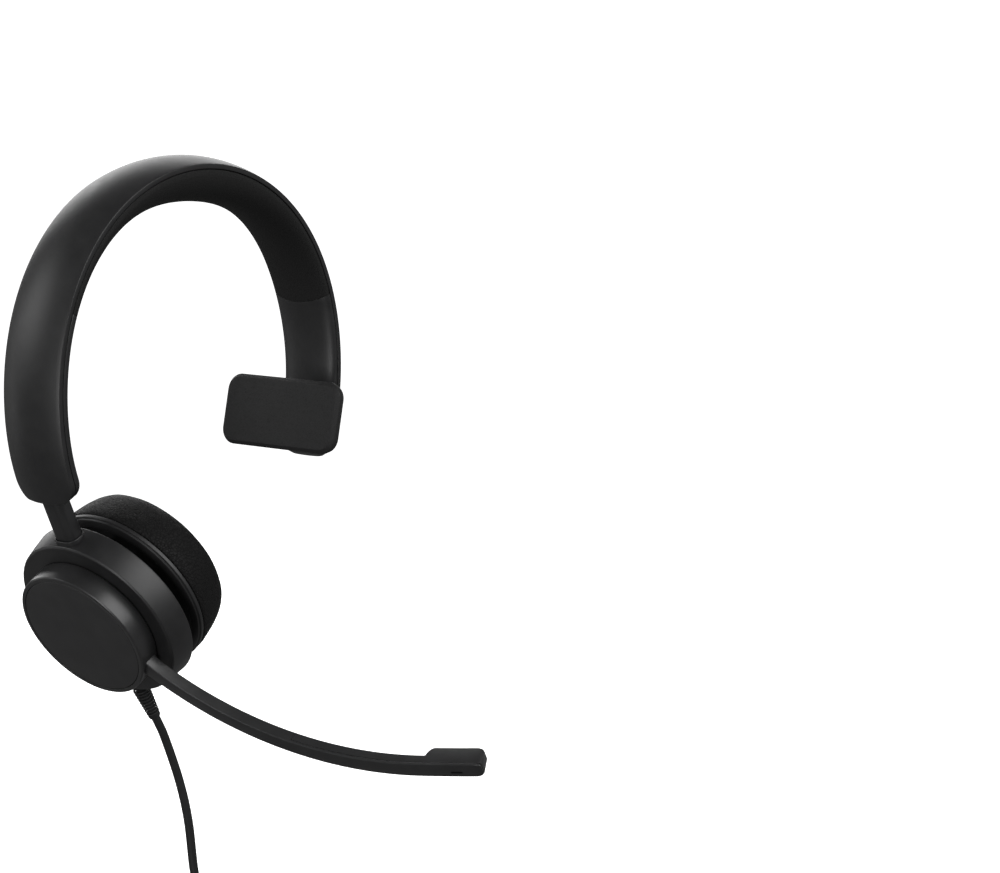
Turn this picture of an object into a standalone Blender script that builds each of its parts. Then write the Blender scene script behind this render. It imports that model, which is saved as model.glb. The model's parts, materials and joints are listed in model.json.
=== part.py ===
"""One-ear wired office headset, worn on the head, with a rotating microphone boom.

The frame is +Z up, -Y forward (towards the mouth), +X towards the temple pad.
The origin is the crown contact: the lowest line of the crown pad, on the band's middle plane.
Lengths are in metres, written through the mm factor, and angles are in degrees.
"""

import math

import bmesh
import bpy
from mathutils import Matrix, Vector

mm = 0.001

# --- headband arch: the crease line is a polar curve about the arch centre ---
arch_radius = 76.75 * mm
arch_rise = 0.1767  # taller than wide: first sine term
arch_terms = (0.0019, -0.0232, -0.0117)  # cos 2a, sin 3a, cos 4a
left_end = 202.0
right_end = -19.5
band_width = 27.9 * mm
right_leg_narrowing = 2.0 * mm
right_leg_spread = 1.3 * mm
band_crown = 3.0 * mm
shell_side = 3.2 * mm
shell_wall = 1.6 * mm
left_leg_depth = 8.8 * mm
right_leg_depth = 6.5 * mm
crown_depth = 14.3 * mm
crown_angle = 91.0
crown_spread = 35.0
band_corner = 7.5 * mm
end_wall = 1.6 * mm
pad_end = 29.5  # half angle from the temple side, mirrored on the other
seam = 0.3 * mm
cover_wall = 1.5 * mm

# --- slider ---
stem_depth = 2.4 * mm
stem_angle = 25.6
stem_length = 17.75 * mm
stem_thick = 7.6 * mm
stem_wide = 9.2 * mm
stem_round = 2.4 * mm
stem_seat = 3.2 * mm
slider_travel = 26.0 * mm
rail_thick = 1.4 * mm
rail_wide = 9.0 * mm
rail_depth = 2.1 * mm
guide_length = 12.0 * mm
stop_radius = 1.2 * mm
guide_lift = 4.0 * mm
guide_size = (12.4 * mm, 3.2 * mm)
guide_ear = (23.4 * mm, 1.4 * mm, 4.0 * mm)

# --- ear cup stack, measured inwards along the cup's axis from the hub cap's face ---
cup_angle = 31.4
gap = 0.3 * mm
hub_radius = 27.2 * mm
hub_depth = 8.85 * mm
hub_cap_radius = hub_radius - 1.9 * mm
hub_back = 1.5 * mm
hub_wall = 1.8 * mm
axle_radius = 6.6 * mm
axle_bore = 3.4 * mm
housing_depth = 10.7 * mm
housing_radius_front = 33.9 * mm
housing_radius_rear = 35.3 * mm
housing_wall = 1.8 * mm
washer_thick = 0.75 * mm
retainer_thick = 1.1 * mm
board_thick = 1.1 * mm
back_plate_inset = 1.55 * mm
back_plate_thick = 1.7 * mm
gimbal_clearance = 3.75 * mm
gimbal_ring_radius = 19.3 * mm
gimbal_ring_wide = 3.0 * mm
gimbal_ring_thick = 2.4 * mm
lug_thick = 3.0 * mm
lug_wide = 7.0 * mm
lug_gap = 0.6 * mm
pin_radius = 0.9 * mm
cup_gap = 7.6 * mm
baffle_radius = 33.75 * mm
baffle_thick = 2.75 * mm
cushion_radius = 33.8 * mm
cushion_thick = 18.0 * mm
cushion_hole = 15.2 * mm
magnet_radius = 8.5 * mm
magnet_thick = 4.3 * mm
driver_radius = 14.2 * mm

# Where each layer of the stack comes, from the sizes above.
housing_front = hub_depth + gap
inner_front = housing_front + housing_wall
axle_end = inner_front + gap + washer_thick
housing_rear = housing_front + housing_depth
back_plate_rear = housing_rear - back_plate_inset
gimbal_level = housing_rear + gimbal_clearance
baffle_rear = housing_rear + cup_gap
baffle_front = baffle_rear + baffle_thick
cushion_face = baffle_front + cushion_thick
rim_radius = (housing_radius_front + housing_radius_rear) / 2.0
stem_level = (housing_front + housing_rear) / 2.0
screw_circle = housing_radius_front - 5.3 * mm
lug_radius = gimbal_ring_radius + lug_gap

# --- boom, on the hub ---
boom_root_angle = 29.5
boom_heading = 41.6
boom_turn = -50.0
boom_straight = 0.82  # share of the length where it stops curving
boom_length = 133.6 * mm
boom_reach_in = 18.0 * mm
boom_height = 5.8 * mm
boom_thick = 4.8 * mm
boom_level = 4.6 * mm
boom_split = 0.6 * mm
boom_seam_start = 0.45
mic_block_length = 22.0 * mm
mic_block_rise = 4.2 * mm
mic_radius = 2.0 * mm
boom_up = -267.0
boom_down = 25.0

# --- temple pad ---
temple_angle = -6.5
temple_drop = 2.8 * mm
temple_pad_size = (57.8 * mm, 28.2 * mm)
temple_corner = 6.5 * mm
temple_face_thick = 3.0 * mm
temple_plate_thick = 1.7 * mm
temple_post_length = 9.2 * mm
temple_post_radius = 5.5 * mm
temple_tilt = 10.0

# --- cord ---
cord_diameter = 3.5 * mm
gland_inset = 4.15 * mm
gland_length = 16.5 * mm
gland_radii = (3.3 * mm, 2.35 * mm)
gland_ribs = 5
gland_level = housing_front + gland_inset
coil_radius = 21.0 * mm
coil_bundle = 14.0 * mm
coil_drop = 106.4 * mm  # from the gland's end down to the coil's centre
coil_entry = 50.0
coil_side = 6.6 * mm
tail_side = 23.0 * mm
tail_length = 31.0 * mm
plug_size = (15.5 * mm, 7.6 * mm, 21.0 * mm)
usb_size = (12.0 * mm, 4.5 * mm, 18.0 * mm)

screw_radius = 0.9 * mm

black_plastic = ("black satin plastic", (0.012, 0.012, 0.013), 0.42, 0.0)
hub_plastic = ("hub satin plastic", (0.018, 0.018, 0.019), 0.33, 0.0)
inner_plastic = ("inner plastic", (0.03, 0.03, 0.032), 0.55, 0.0)
soft_black = ("soft leatherette", (0.010, 0.010, 0.010), 0.72, 0.0)
steel = ("spring steel", (0.55, 0.55, 0.56), 0.28, 1.0)
brass = ("pin steel", (0.60, 0.60, 0.60), 0.25, 1.0)
board_green = ("circuit board", (0.02, 0.10, 0.04), 0.5, 0.0)
cloth = ("scrim cloth", (0.015, 0.015, 0.016), 0.9, 0.0)
cord_black = ("cord jacket", (0.014, 0.014, 0.014), 0.5, 0.0)


# ------------------------------------------------------------------ helpers
def clear_scene():
    for found in list(bpy.data.objects):
        bpy.data.objects.remove(found)


def new_collection(name, hidden=False):
    made = bpy.data.collections.new(name)
    bpy.context.scene.collection.children.link(made)
    made.hide_render = hidden
    return made


def finish(part, look):
    name, colour, roughness, metallic = look
    material = bpy.data.materials.get(name)
    if material is None:
        material = bpy.data.materials.new(name)
        material.use_nodes = True
        shader = material.node_tree.nodes["Principled BSDF"]
        shader.inputs["Base Color"].default_value = (*colour, 1.0)
        shader.inputs["Roughness"].default_value = roughness
        shader.inputs["Metallic"].default_value = metallic
    part.data.materials.clear()
    part.data.materials.append(material)


def place(name, data, parent, where, look, collection=None):
    made = bpy.data.objects.new(name, data)
    (collection or parts).objects.link(made)
    made.parent = parent
    made.matrix_basis = where
    if look:
        finish(made, look)
    return made


def smooth(data, angle=35.0):
    data.shade_smooth()
    data.set_sharp_from_angle(angle=math.radians(angle))


def mesh_from(work, name):
    bmesh.ops.recalc_face_normals(work, faces=work.faces)
    data = bpy.data.meshes.new(name)
    work.to_mesh(data)
    work.free()
    smooth(data)
    return data


def loft(name, rings, parent, look, collection=None):
    """A closed solid through closed section rings that all have the same number of points."""
    work = bmesh.new()
    rows = [[work.verts.new(point) for point in ring] for ring in rings]
    count = len(rows[0])
    for low, high in zip(rows, rows[1:]):
        for i in range(count):
            j = (i + 1) % count
            work.faces.new((low[i], low[j], high[j], high[i]))
    work.faces.new(list(reversed(rows[0])))
    work.faces.new(rows[-1])
    return place(name, mesh_from(work, name), parent, Matrix(), look, collection)


def turned(name, profile, parent, where, look, steps=40, collection=None):
    """A turned solid about local Z, from (radius, height) corners."""
    corners = list(profile)
    on_axis = corners[0][0] == 0.0 and corners[-1][0] == 0.0
    area = sum(a[0] * b[1] - b[0] * a[1] for a, b in zip(corners, corners[1:] + corners[:1]))
    if area > 0.0:
        corners.reverse()
    data = bpy.data.meshes.new(name)
    edges = [(i, i + 1) for i in range(len(corners) - 1)]
    if not on_axis:
        edges.append((len(corners) - 1, 0))
    data.from_pydata([(radius, 0.0, height) for radius, height in corners], edges, [])
    made = place(name, data, parent, where, look, collection)
    screw = made.modifiers.new("Turn", "SCREW")
    screw.axis = "Z"
    screw.steps = steps
    screw.render_steps = steps
    screw.use_merge_vertices = True
    screw.merge_threshold = 0.00001
    screw.use_smooth_shade = True
    return made


def cylinder(name, radius, low, high, parent, where, look, sides=16, collection=None):
    work = bmesh.new()
    centre = Matrix.Translation((0.0, 0.0, (low + high) / 2.0))
    bmesh.ops.create_cone(
        work, cap_ends=True, segments=sides, radius1=radius, radius2=radius, depth=high - low, matrix=centre
    )
    return place(name, mesh_from(work, name), parent, where, look, collection)


def box(name, size, centre, parent, where, look, bevel=0.0, collection=None):
    work = bmesh.new()
    bmesh.ops.create_cube(work, size=1.0, matrix=Matrix.Translation(centre) @ Matrix.Diagonal((*size, 1.0)))
    made = place(name, mesh_from(work, name), parent, where, look, collection)
    if bevel:
        edge = made.modifiers.new("Edges", "BEVEL")
        edge.width = bevel
        edge.segments = 2
    return made


def rounded_outline(width, height, radius, arc_points=5):
    """A rounded rectangle in the XY plane, anticlockwise."""
    outline = []
    for quarter, (sx, sy) in enumerate(((1, 1), (-1, 1), (-1, -1), (1, -1))):
        centre = (sx * (width / 2.0 - radius), sy * (height / 2.0 - radius))
        for step in range(arc_points):
            turn = math.radians(90.0 * (quarter + step / (arc_points - 1)))
            outline.append((centre[0] + radius * math.cos(turn), centre[1] + radius * math.sin(turn)))
    return outline


def slab(name, outline, low, high, parent, where, look, edge=0.0, collection=None):
    """A flat outline given thickness along local Z, with an optional rounded rim."""
    flat = bpy.data.curves.new(name, "CURVE")
    flat.dimensions = "2D"
    flat.fill_mode = "BOTH"
    line = flat.splines.new("POLY")
    line.points.add(len(outline) - 1)
    for point, (x, y) in zip(line.points, outline):
        point.co = (x, y, 0.0, 1.0)
    line.use_cyclic_u = True
    flat.extrude = (high - low) / 2.0 - edge
    flat.bevel_depth = edge
    flat.offset = -edge
    flat.bevel_resolution = 1
    middle = Matrix.Translation((0.0, 0.0, (low + high) / 2.0))
    made = place(name, flat, parent, where @ middle, None, collection)
    return as_mesh(made, look, collection)


def as_mesh(curve, look, collection=None):
    """The curve as a welded mesh object of the same name and place."""
    graph = bpy.context.evaluated_depsgraph_get()
    data = bpy.data.meshes.new_from_object(curve.evaluated_get(graph))
    work = bmesh.new()
    work.from_mesh(data)
    bmesh.ops.remove_doubles(work, verts=work.verts, dist=0.000002)
    bmesh.ops.recalc_face_normals(work, faces=work.faces)
    work.to_mesh(data)
    work.free()
    smooth(data)
    name, parent, where = curve.name, curve.parent, curve.matrix_basis.copy()
    bpy.data.objects.remove(curve)
    return place(name, data, parent, where, look, collection)


def boolean(part, others, operation):
    for other in others:
        change = part.modifiers.new(operation.title(), "BOOLEAN")
        change.operation = operation
        change.object = other
        other.hide_render = True
        other.display_type = "WIRE"
    return part


def cut(part, *others):
    return boolean(part, others, "DIFFERENCE")


def join(part, *others):
    return boolean(part, others, "UNION")


def frame_at(name, parent, where):
    made = bpy.data.objects.new(name, None)
    parts.objects.link(made)
    made.parent = parent
    made.matrix_basis = where
    return made


def ease(value):
    clipped = min(max(value, 0.0), 1.0)
    return clipped * clipped * (3.0 - 2.0 * clipped)


# ------------------------------------------------------------------ arch
def right_leg_share(angle):
    """0 over the crown and left leg, rising to 1 at the temple end."""
    return ease((40.0 - angle) / 45.0)


def crease_point(angle):
    """The band's outer edge line, as (x, z) from the arch centre."""
    a = math.radians(angle)
    second, third, fourth = arch_terms
    shape = 1.0 + arch_rise * math.sin(a)
    shape += second * math.cos(2.0 * a) + third * math.sin(3.0 * a) + fourth * math.cos(4.0 * a)
    radius = arch_radius * shape + right_leg_spread * right_leg_share(angle)
    return Vector((radius * math.cos(a), 0.0, radius * math.sin(a)))


def inward(angle):
    along = (crease_point(angle + 0.2) - crease_point(angle - 0.2)).normalized()
    return Vector((-along.z, 0.0, along.x))


def angle_step(angle, distance):
    """The angle that a short distance along the band takes near this angle."""
    speed = (crease_point(angle + 0.5) - crease_point(angle - 0.5)).length
    return distance / speed


def half_width(angle):
    return (band_width - right_leg_narrowing * right_leg_share(angle)) / 2.0


def leg_depth(angle):
    """Depth of the band's inner side below its edge line."""
    share = ease((angle - crown_angle + 60.0) / 120.0)
    leg = right_leg_depth + (left_leg_depth - right_leg_depth) * share
    bulge = math.exp(-(((angle - crown_angle) / crown_spread) ** 2))
    return leg + (crown_depth - leg) * bulge


def crown_at(y, half):
    return -band_crown * (1.0 - (y / half) ** 2)


def belly_at(y, half, side, depth):
    return side + (depth - side) * math.sqrt(max(0.0, 1.0 - (y / half) ** 2))


def stations(start, stop, corner, count, rounded=(True, True)):
    """(angle, narrowing) along the band, close together where an end is rounded."""
    corner_steps = (0.0, 0.08, 0.28, 0.55, 1.0)
    narrowing = [corner - corner * math.sqrt(1.0 - (1.0 - s) ** 2) for s in corner_steps]
    first = [(0.0, 0.0)]
    last = [(0.0, 0.0)]
    if rounded[0]:
        first = [(angle_step(start, corner * s), n) for s, n in zip(corner_steps, narrowing)]
    if rounded[1]:
        last = [(angle_step(stop, corner * s), n) for s, n in zip(corner_steps, narrowing)]
    low = start + first[-1][0]
    high = stop - last[-1][0]
    found = [(start + turn, n) for turn, n in first]
    found += [(low + (high - low) * i / count, 0.0) for i in range(1, count)]
    found += [(stop - turn, n) for turn, n in reversed(last)]
    return found


def band_ring(angle, outline):
    origin = crease_point(angle)
    down = inward(angle)
    return [origin + down * depth + Vector((0.0, y, 0.0)) for y, depth in outline]


def spread(half, count=7):
    return [-half * math.cos(math.pi * i / count) for i in range(count + 1)]


def band_solid(
    name, start, stop, section, look, count, corner=band_corner, rounded=(True, True), collection=None
):
    rings = []
    for angle, narrowing in stations(start, stop, corner, count, rounded):
        half = half_width(angle) - narrowing
        rings.append(band_ring(angle, section(angle, half)))
    return loft(name, rings, arch, look, collection)


def shell_section(angle, half):
    full = half_width(angle)
    top = [(y, crown_at(y, full)) for y in spread(half)]
    return top + [(half, shell_side), (-half, shell_side)]


def shell_cavity_section(angle, half):
    full = half_width(angle)
    inner = half - shell_wall
    top = [(y, crown_at(y, full) + shell_wall) for y in spread(inner)]
    return top + [(inner, shell_side + 1.0 * mm), (-inner, shell_side + 1.0 * mm)]


def cover_section(angle, half):
    side = shell_side + seam
    depth = leg_depth(angle)
    full = half_width(angle)
    edge = half - 0.1 * mm
    belly = [(y, belly_at(y, full, side + 0.6 * mm, depth)) for y in reversed(spread(edge))]
    return belly + [(-edge, side), (edge, side)]


def cover_cavity_section(angle, half):
    side = shell_side + seam
    depth = leg_depth(angle) - cover_wall
    full = half_width(angle) - cover_wall
    edge = half - 0.1 * mm - cover_wall
    belly = [(y, belly_at(y, full, side + 0.3 * mm, depth)) for y in reversed(spread(edge))]
    return belly + [(-edge, side - 1.0 * mm), (edge, side - 1.0 * mm)]


def pad_section(angle, half):
    side = shell_side + seam
    ends = min((angle - pad_end), (180.0 - pad_end - angle))
    depth = leg_depth(angle) - 0.8 * mm * (1.0 - ease(ends / 1.6))
    full = half_width(angle)
    edge = half - 0.15 * mm
    belly = [(y, belly_at(y, full, side + 0.8 * mm, depth)) for y in reversed(spread(edge))]
    return belly + [(-edge, side), (edge, side)]


def strip_section(wide, low, high):
    side = wide / 2.0
    return lambda angle, half: [(-side, low), (side, low), (side, high), (-side, high)]


def band_axis(angle, depth=0.0):
    """A frame on the band: local Z points outwards, local X forward along -Y."""
    out = -inward(angle)
    along = Vector((0.0, -1.0, 0.0))
    side = out.cross(along)
    turn = Matrix((along, side, out)).transposed().to_4x4()
    return Matrix.Translation(crease_point(angle) - out * depth) @ turn


# ------------------------------------------------------------------ build
clear_scene()
parts = new_collection("office_headset")
cutters = new_collection("cutters")

crown_inner = (crease_point(90.0) + inward(90.0) * crown_depth).z
arch = frame_at("arch_centre", None, Matrix.Translation((0.0, 0.0, -crown_inner)))

# Slider line: a straight chord inside the curved left leg.
stem_top = crease_point(left_end) + inward(left_end) * stem_depth
rail_foot = crease_point(left_end) + inward(left_end) * rail_depth
rail_length = guide_lift + guide_length + slider_travel + 4.5 * mm
rail_top_angle = left_end - angle_step(left_end - 15.0, rail_length)
rail_head = crease_point(rail_top_angle) + inward(rail_top_angle) * (rail_depth - 1.0 * mm)
slide_axis = (rail_foot - rail_head).normalized()

# Stem and ear cup axis.
stem_axis = Vector((math.sin(math.radians(stem_angle)), 0.0, -math.cos(math.radians(stem_angle))))
cup_out = Vector((-math.cos(math.radians(cup_angle)), 0.0, -math.sin(math.radians(cup_angle))))
cup_forward = Vector((0.0, -1.0, 0.0))
cup_up = cup_out.cross(cup_forward)
stem_foot = stem_top + stem_axis * stem_length
cup_centre = stem_foot + cup_out * stem_level - cup_up * (rim_radius - 0.4 * mm)
cup_turn = Matrix((cup_forward, cup_up, cup_out)).transposed().to_4x4()
cup = frame_at("cup_axis", arch, Matrix.Translation(cup_centre) @ cup_turn)
gimbal = frame_at("gimbal_centre", cup, Matrix.Translation((0.0, 0.0, -gimbal_level)))


def stem_frame(axis, origin):
    """Local Z runs up the stem, local X forward, local Y across the leg's thickness."""
    up = -axis
    forward = Vector((0.0, -1.0, 0.0))
    across = up.cross(forward)
    return Matrix.Translation(origin) @ Matrix((forward, across, up)).transposed().to_4x4()


def make_headband():
    shell = band_solid("headband_shell", right_end, left_end, shell_section, black_plastic, 31)
    wall_turn = angle_step(right_end, end_wall)
    hollow = band_solid(
        "shell_hollow",
        right_end + wall_turn,
        left_end - wall_turn,
        shell_cavity_section,
        None,
        27,
        collection=cutters,
    )
    passage = slab(
        "stem_passage",
        rounded_outline(stem_wide + 2.4 * gap, stem_thick + 2.4 * gap, stem_round + gap),
        -6.0 * mm,
        6.0 * mm,
        arch,
        stem_frame(stem_axis, stem_top),
        None,
        collection=cutters,
    )
    cut(shell, hollow, passage)

    cover_left_start = 180.0 - pad_end + 0.2
    left = band_solid(
        "left_leg_cover", cover_left_start, left_end, cover_section, black_plastic, 9, rounded=(False, True)
    )
    left_hollow = band_solid(
        "left_cover_hollow",
        cover_left_start + 1.0,
        left_end - wall_turn,
        cover_cavity_section,
        None,
        7,
        rounded=(False, True),
        collection=cutters,
    )
    cut(left, left_hollow, passage)

    right = band_solid(
        "right_leg_cover", right_end, pad_end - 0.2, cover_section, black_plastic, 9, rounded=(True, False)
    )
    right_hollow = band_solid(
        "right_cover_hollow",
        right_end + wall_turn,
        pad_end - 1.2,
        cover_cavity_section,
        None,
        7,
        rounded=(True, False),
        collection=cutters,
    )
    cut(right, right_hollow)

    carrier_wide = band_width - 2.0 * (shell_wall + gap)
    carrier_top = shell_side - 1.3 * mm
    band_solid(
        "pad_carrier",
        pad_end,
        180.0 - pad_end,
        strip_section(carrier_wide, carrier_top, shell_side),
        inner_plastic,
        18,
        rounded=(False, False),
    )
    band_solid(
        "crown_pad", pad_end, 180.0 - pad_end, pad_section, soft_black, 22, corner=1.2 * mm
    )

    band_low, band_high = 0.6 * mm, 1.2 * mm
    strip_outline = strip_section(10.0 * mm, band_low, band_high)
    strip = band_solid("spring_band", 2.0, 161.0, strip_outline, steel, 24, rounded=(False, False))
    for name, angle in (("band_screw_right", 9.0), ("band_screw_left", 156.0)):
        where = band_axis(angle)
        tip = band_crown - 0.7 * mm
        hole = cylinder(
            name + "_hole", screw_radius + gap, -2.0 * mm, tip + gap, arch, where, None, 12, cutters
        )
        cut(strip, hole)
        cut(shell, hole)
        head = band_high + 0.2 * mm
        back = head + 1.1 * mm
        wide = 2.0 * mm
        shank = screw_radius
        turned(
            name,
            [(0.0, tip), (shank, tip), (shank, -head), (wide, -head), (wide, -back), (0.0, -back)],
            arch,
            where,
            brass,
            12,
        )


def make_slider():
    where = stem_frame(stem_axis, stem_top)
    outline = rounded_outline(stem_wide, stem_thick, stem_round)
    low, high = -(stem_length + stem_seat), end_wall - 0.1 * mm
    arm = slab("slider_arm", outline, low, high, arch, where, black_plastic)
    rail_where = stem_frame(slide_axis, rail_foot)
    rail = box(
        "rail_body",
        (rail_wide, rail_thick, rail_length + 4.0 * mm),
        (0.0, 0.0, (rail_length - 4.0 * mm) / 2.0),
        arch,
        rail_where,
        None,
        collection=cutters,
    )
    join(arm, rail)
    stop_up = rail_length - 2.6 * mm
    across = Matrix.Translation((0.0, 0.0, stop_up)) @ Matrix.Rotation(math.radians(90.0), 4, "X")
    stop_where = rail_where @ across
    hole = cylinder("stop_hole", stop_radius + gap, -4.0 * mm, 4.0 * mm, arch, stop_where, None, 12, cutters)
    cut(arm, hole)
    cylinder("slider_stop_pin", stop_radius, -1.6 * mm, 1.6 * mm, arch, stop_where, brass, 12)

    guide_wide, guide_thick = guide_size
    ear_side = (guide_ear[1] - guide_thick) / 2.0
    middle = guide_lift + guide_length / 2.0
    guide_box = (guide_wide, guide_thick, guide_length)
    guide = box("slider_guide", guide_box, (0.0, 0.0, middle), arch, rail_where, inner_plastic)
    slot = box(
        "guide_slot",
        (rail_wide + 2.0 * gap, rail_thick + 1.4 * gap, guide_length + 4.0 * mm),
        (0.0, 0.0, middle),
        arch,
        rail_where,
        None,
        collection=cutters,
    )
    ear_level = guide_lift + guide_ear[2] * 1.5
    ear = box("guide_ear", guide_ear, (0.0, ear_side, ear_level), arch, rail_where, None, 0.0, cutters)
    join(guide, ear)
    cut(guide, slot)
    leaf_size = (5.0 * mm, 0.35 * mm, guide_length - 3.0 * mm)
    leaf_side = guide_thick / 2.0 + gap + leaf_size[1] / 2.0
    box("detent_leaf", leaf_size, (0.0, leaf_side, middle), arch, rail_where, steel)


def stem_cutter():
    outline = rounded_outline(stem_wide + 2.0 * gap, stem_thick + 2.0 * gap, stem_round + gap)
    low = -(stem_length + stem_seat + gap)
    return slab(
        "stem_socket", outline, low, 0.0, arch, stem_frame(stem_axis, stem_top), None, collection=cutters
    )


def cup_place(x, y):
    return Matrix.Translation((x, y, 0.0))


def cup_turned(name, profile, look, parent=None, base=0.0, steps=40, collection=None):
    """A turned piece on the cup's axis from (radius, depth) corners."""
    corners = [(radius, base - depth) for radius, depth in profile]
    return turned(name, corners, parent or cup, Matrix(), look, steps, collection)


def cup_drill(name, radius, near, far, x, y, parent=None, base=0.0, sides=12):
    where = cup_place(x, y)
    return cylinder(name, radius, base - far, base - near, parent or cup, where, None, sides, cutters)


def small_screw(name, x, y, tip, seat, head=2.0 * mm, shank=screw_radius, thick=1.0 * mm):
    """A pan-head screw along the cup's axis; the head stands behind its seat."""
    back = seat + gap / 2.0
    end = back + thick
    profile = [(0.0, tip), (shank, tip), (shank, back), (head, back), (head, end), (0.0, end)]
    corners = [(radius, -depth) for radius, depth in profile]
    return turned(name, corners, cup, cup_place(x, y), brass, 12)


def around(radius, angle):
    a = math.radians(angle)
    return radius * math.cos(a), radius * math.sin(a)


def rear_wall_radius(depth):
    share = (depth - housing_front) / (housing_rear - housing_front)
    return housing_radius_front + (housing_radius_rear - housing_radius_front) * share


def make_housing():
    edge = 1.5 * mm
    profile = [
        (axle_radius + gap, housing_front),
        (housing_radius_front - edge, housing_front),
        (housing_radius_front - 0.45 * mm, housing_front + 0.4 * mm),
        (rear_wall_radius(housing_front + edge), housing_front + edge),
        (housing_radius_rear - 0.3 * mm, housing_rear - 0.4 * mm),
        (housing_radius_rear - 0.8 * mm, housing_rear),
        (housing_radius_rear - housing_wall, housing_rear),
        (rear_wall_radius(inner_front) - housing_wall, inner_front),
        (axle_radius + gap, inner_front),
    ]
    housing = cup_turned("cup_housing", profile, black_plastic)
    socket = stem_cutter()
    plate_front = back_plate_rear - back_plate_thick
    plate_radius = rear_wall_radius(plate_front) - housing_wall - gap
    plate_rear = back_plate_rear
    plate = cup_turned(
        "housing_back_plate",
        [(0.0, plate_front), (plate_radius, plate_front), (plate_radius, plate_rear), (0.0, plate_rear)],
        inner_plastic,
    )
    for side in (-1.0, 1.0):
        x = side * (lug_radius + lug_thick / 2.0)
        tip = gimbal_level + pin_radius + 1.0 * mm
        size = (lug_thick, lug_wide, tip - back_plate_rear + 1.0 * mm)
        centre = (x, 0.0, -(tip + back_plate_rear - 1.0 * mm) / 2.0)
        name = "plate_lug_" + ("front" if side > 0 else "rear")
        join(plate, box(name, size, centre, cup, Matrix(), None, 0.0, cutters))
    bores = pin_bore("plate_pin_bore", cup, "X", gimbal_level)
    cut(plate, socket, bores)
    low, high = plate_front - 1.0 * mm, plate_rear + 1.0 * mm
    wire_way = cup_drill("wire_way", 3.0 * mm, low, high, 0.0, -screw_circle + 4.6 * mm)
    cut(plate, wire_way)
    tip = inner_front + 1.2 * mm
    for name, angle in (("back_screw_top", 90.0), ("back_screw_front", -30.0), ("back_screw_rear", 210.0)):
        x, y = around(screw_circle, angle)
        hole = cup_drill(name + "_hole", screw_radius + gap, tip - gap, 40.0 * mm, x, y)
        if angle != 90.0:
            low, high = inner_front - 0.8 * mm, plate_front - gap
            join(housing, cup_drill(name + "_post", 2.4 * mm, low, high, x, y, sides=20))
            cut(housing, hole)
        else:
            arm = bpy.data.objects["slider_arm"]
            top_hole = cup_drill(name + "_tap", screw_radius + gap, 5.0 * mm, 30.0 * mm, x, y)
            cut(arm, top_hole)
        cut(plate, hole)
        small_screw(name, x, y, tip, back_plate_rear)
    bore = gland_radii[0] + gap
    outside = housing_radius_rear + 5.0 * mm
    gland_bore = cylinder("gland_bore", bore, screw_circle, outside, cup, gland_place(), None, 20, cutters)
    cut(housing, socket, gland_bore)

    foot_outer = rim_radius - 0.1 * mm
    foot_inner = screw_circle - 2.7 * mm
    foot = box(
        "arm_foot",
        (8.4 * mm, foot_outer - foot_inner, plate_front - gap - (inner_front + gap)),
        (0.0, (foot_outer + foot_inner) / 2.0, -(plate_front + inner_front) / 2.0),
        cup,
        Matrix(),
        None,
        0.0,
        cutters,
    )
    arm = bpy.data.objects["slider_arm"]
    arm.modifiers.move(len(join(arm, foot).modifiers) - 1, 0)

    cup_turned(
        "friction_washer",
        [
            (axle_radius + 1.0 * mm, inner_front + gap),
            (axle_radius + 2.7 * mm, inner_front + gap),
            (axle_radius + 2.7 * mm, axle_end - 0.05 * mm),
            (axle_radius + 1.0 * mm, axle_end - 0.05 * mm),
        ],
        steel,
        steps=32,
    )
    board_rear = back_plate_rear - back_plate_thick - 2.6 * gap
    board_front = board_rear - board_thick
    board_radius = screw_circle - 5.1 * mm
    board = cup_turned(
        "circuit_board",
        [(0.0, board_front), (board_radius, board_front), (board_radius, board_rear), (0.0, board_rear)],
        board_green,
        steps=40,
    )
    cut(board, cup_drill("board_notch", 3.4 * mm, inner_front, housing_rear, 0.0, -board_radius))
    box(
        "cable_clamp",
        (9.0 * mm, 3.4 * mm, 2.6 * mm),
        (0.0, -screw_circle + 0.6 * mm, -(inner_front + gap + 1.3 * mm)),
        cup,
        Matrix(),
        inner_plastic,
        0.4 * mm,
    )


def gland_place():
    """Local Z points down the cup, out through the wall."""
    turn = Matrix(((1.0, 0.0, 0.0), (0.0, 0.0, -1.0), (0.0, 1.0, 0.0))).to_4x4()
    return Matrix.Translation((0.0, 0.0, -gland_level)) @ turn


def make_gland():
    wall = rear_wall_radius(gland_level)
    start, end = gland_radii
    root = wall + 0.6 * mm
    tip = wall + gland_length
    seat = wall - housing_wall - 2.0 * mm
    profile = [(0.0, seat), (start, seat), (start, root)]
    pitch = (tip - root) / gland_ribs
    for rib in range(gland_ribs):
        here = root + rib * pitch
        radius = start + (end - start) * (rib + 0.5) / gland_ribs
        profile += [
            (radius - 0.45 * mm, here + 0.05 * mm),
            (radius - 0.45 * mm, here + 0.3 * pitch),
            (radius, here + 0.4 * pitch),
            (radius - 0.05 * mm, here + pitch),
        ]
    profile += [(0.0, tip)]
    turned("cable_gland", profile, cup, gland_place(), black_plastic, 14)


def pin_bore(name, parent, axis, level):
    turn = Matrix.Rotation(math.radians(90.0), 4, "Y" if axis == "X" else "X")
    where = Matrix.Translation((0.0, 0.0, -level)) @ turn
    return cylinder(name, pin_radius + gap / 2.0, -30.0 * mm, 30.0 * mm, parent, where, None, 12, cutters)


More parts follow.
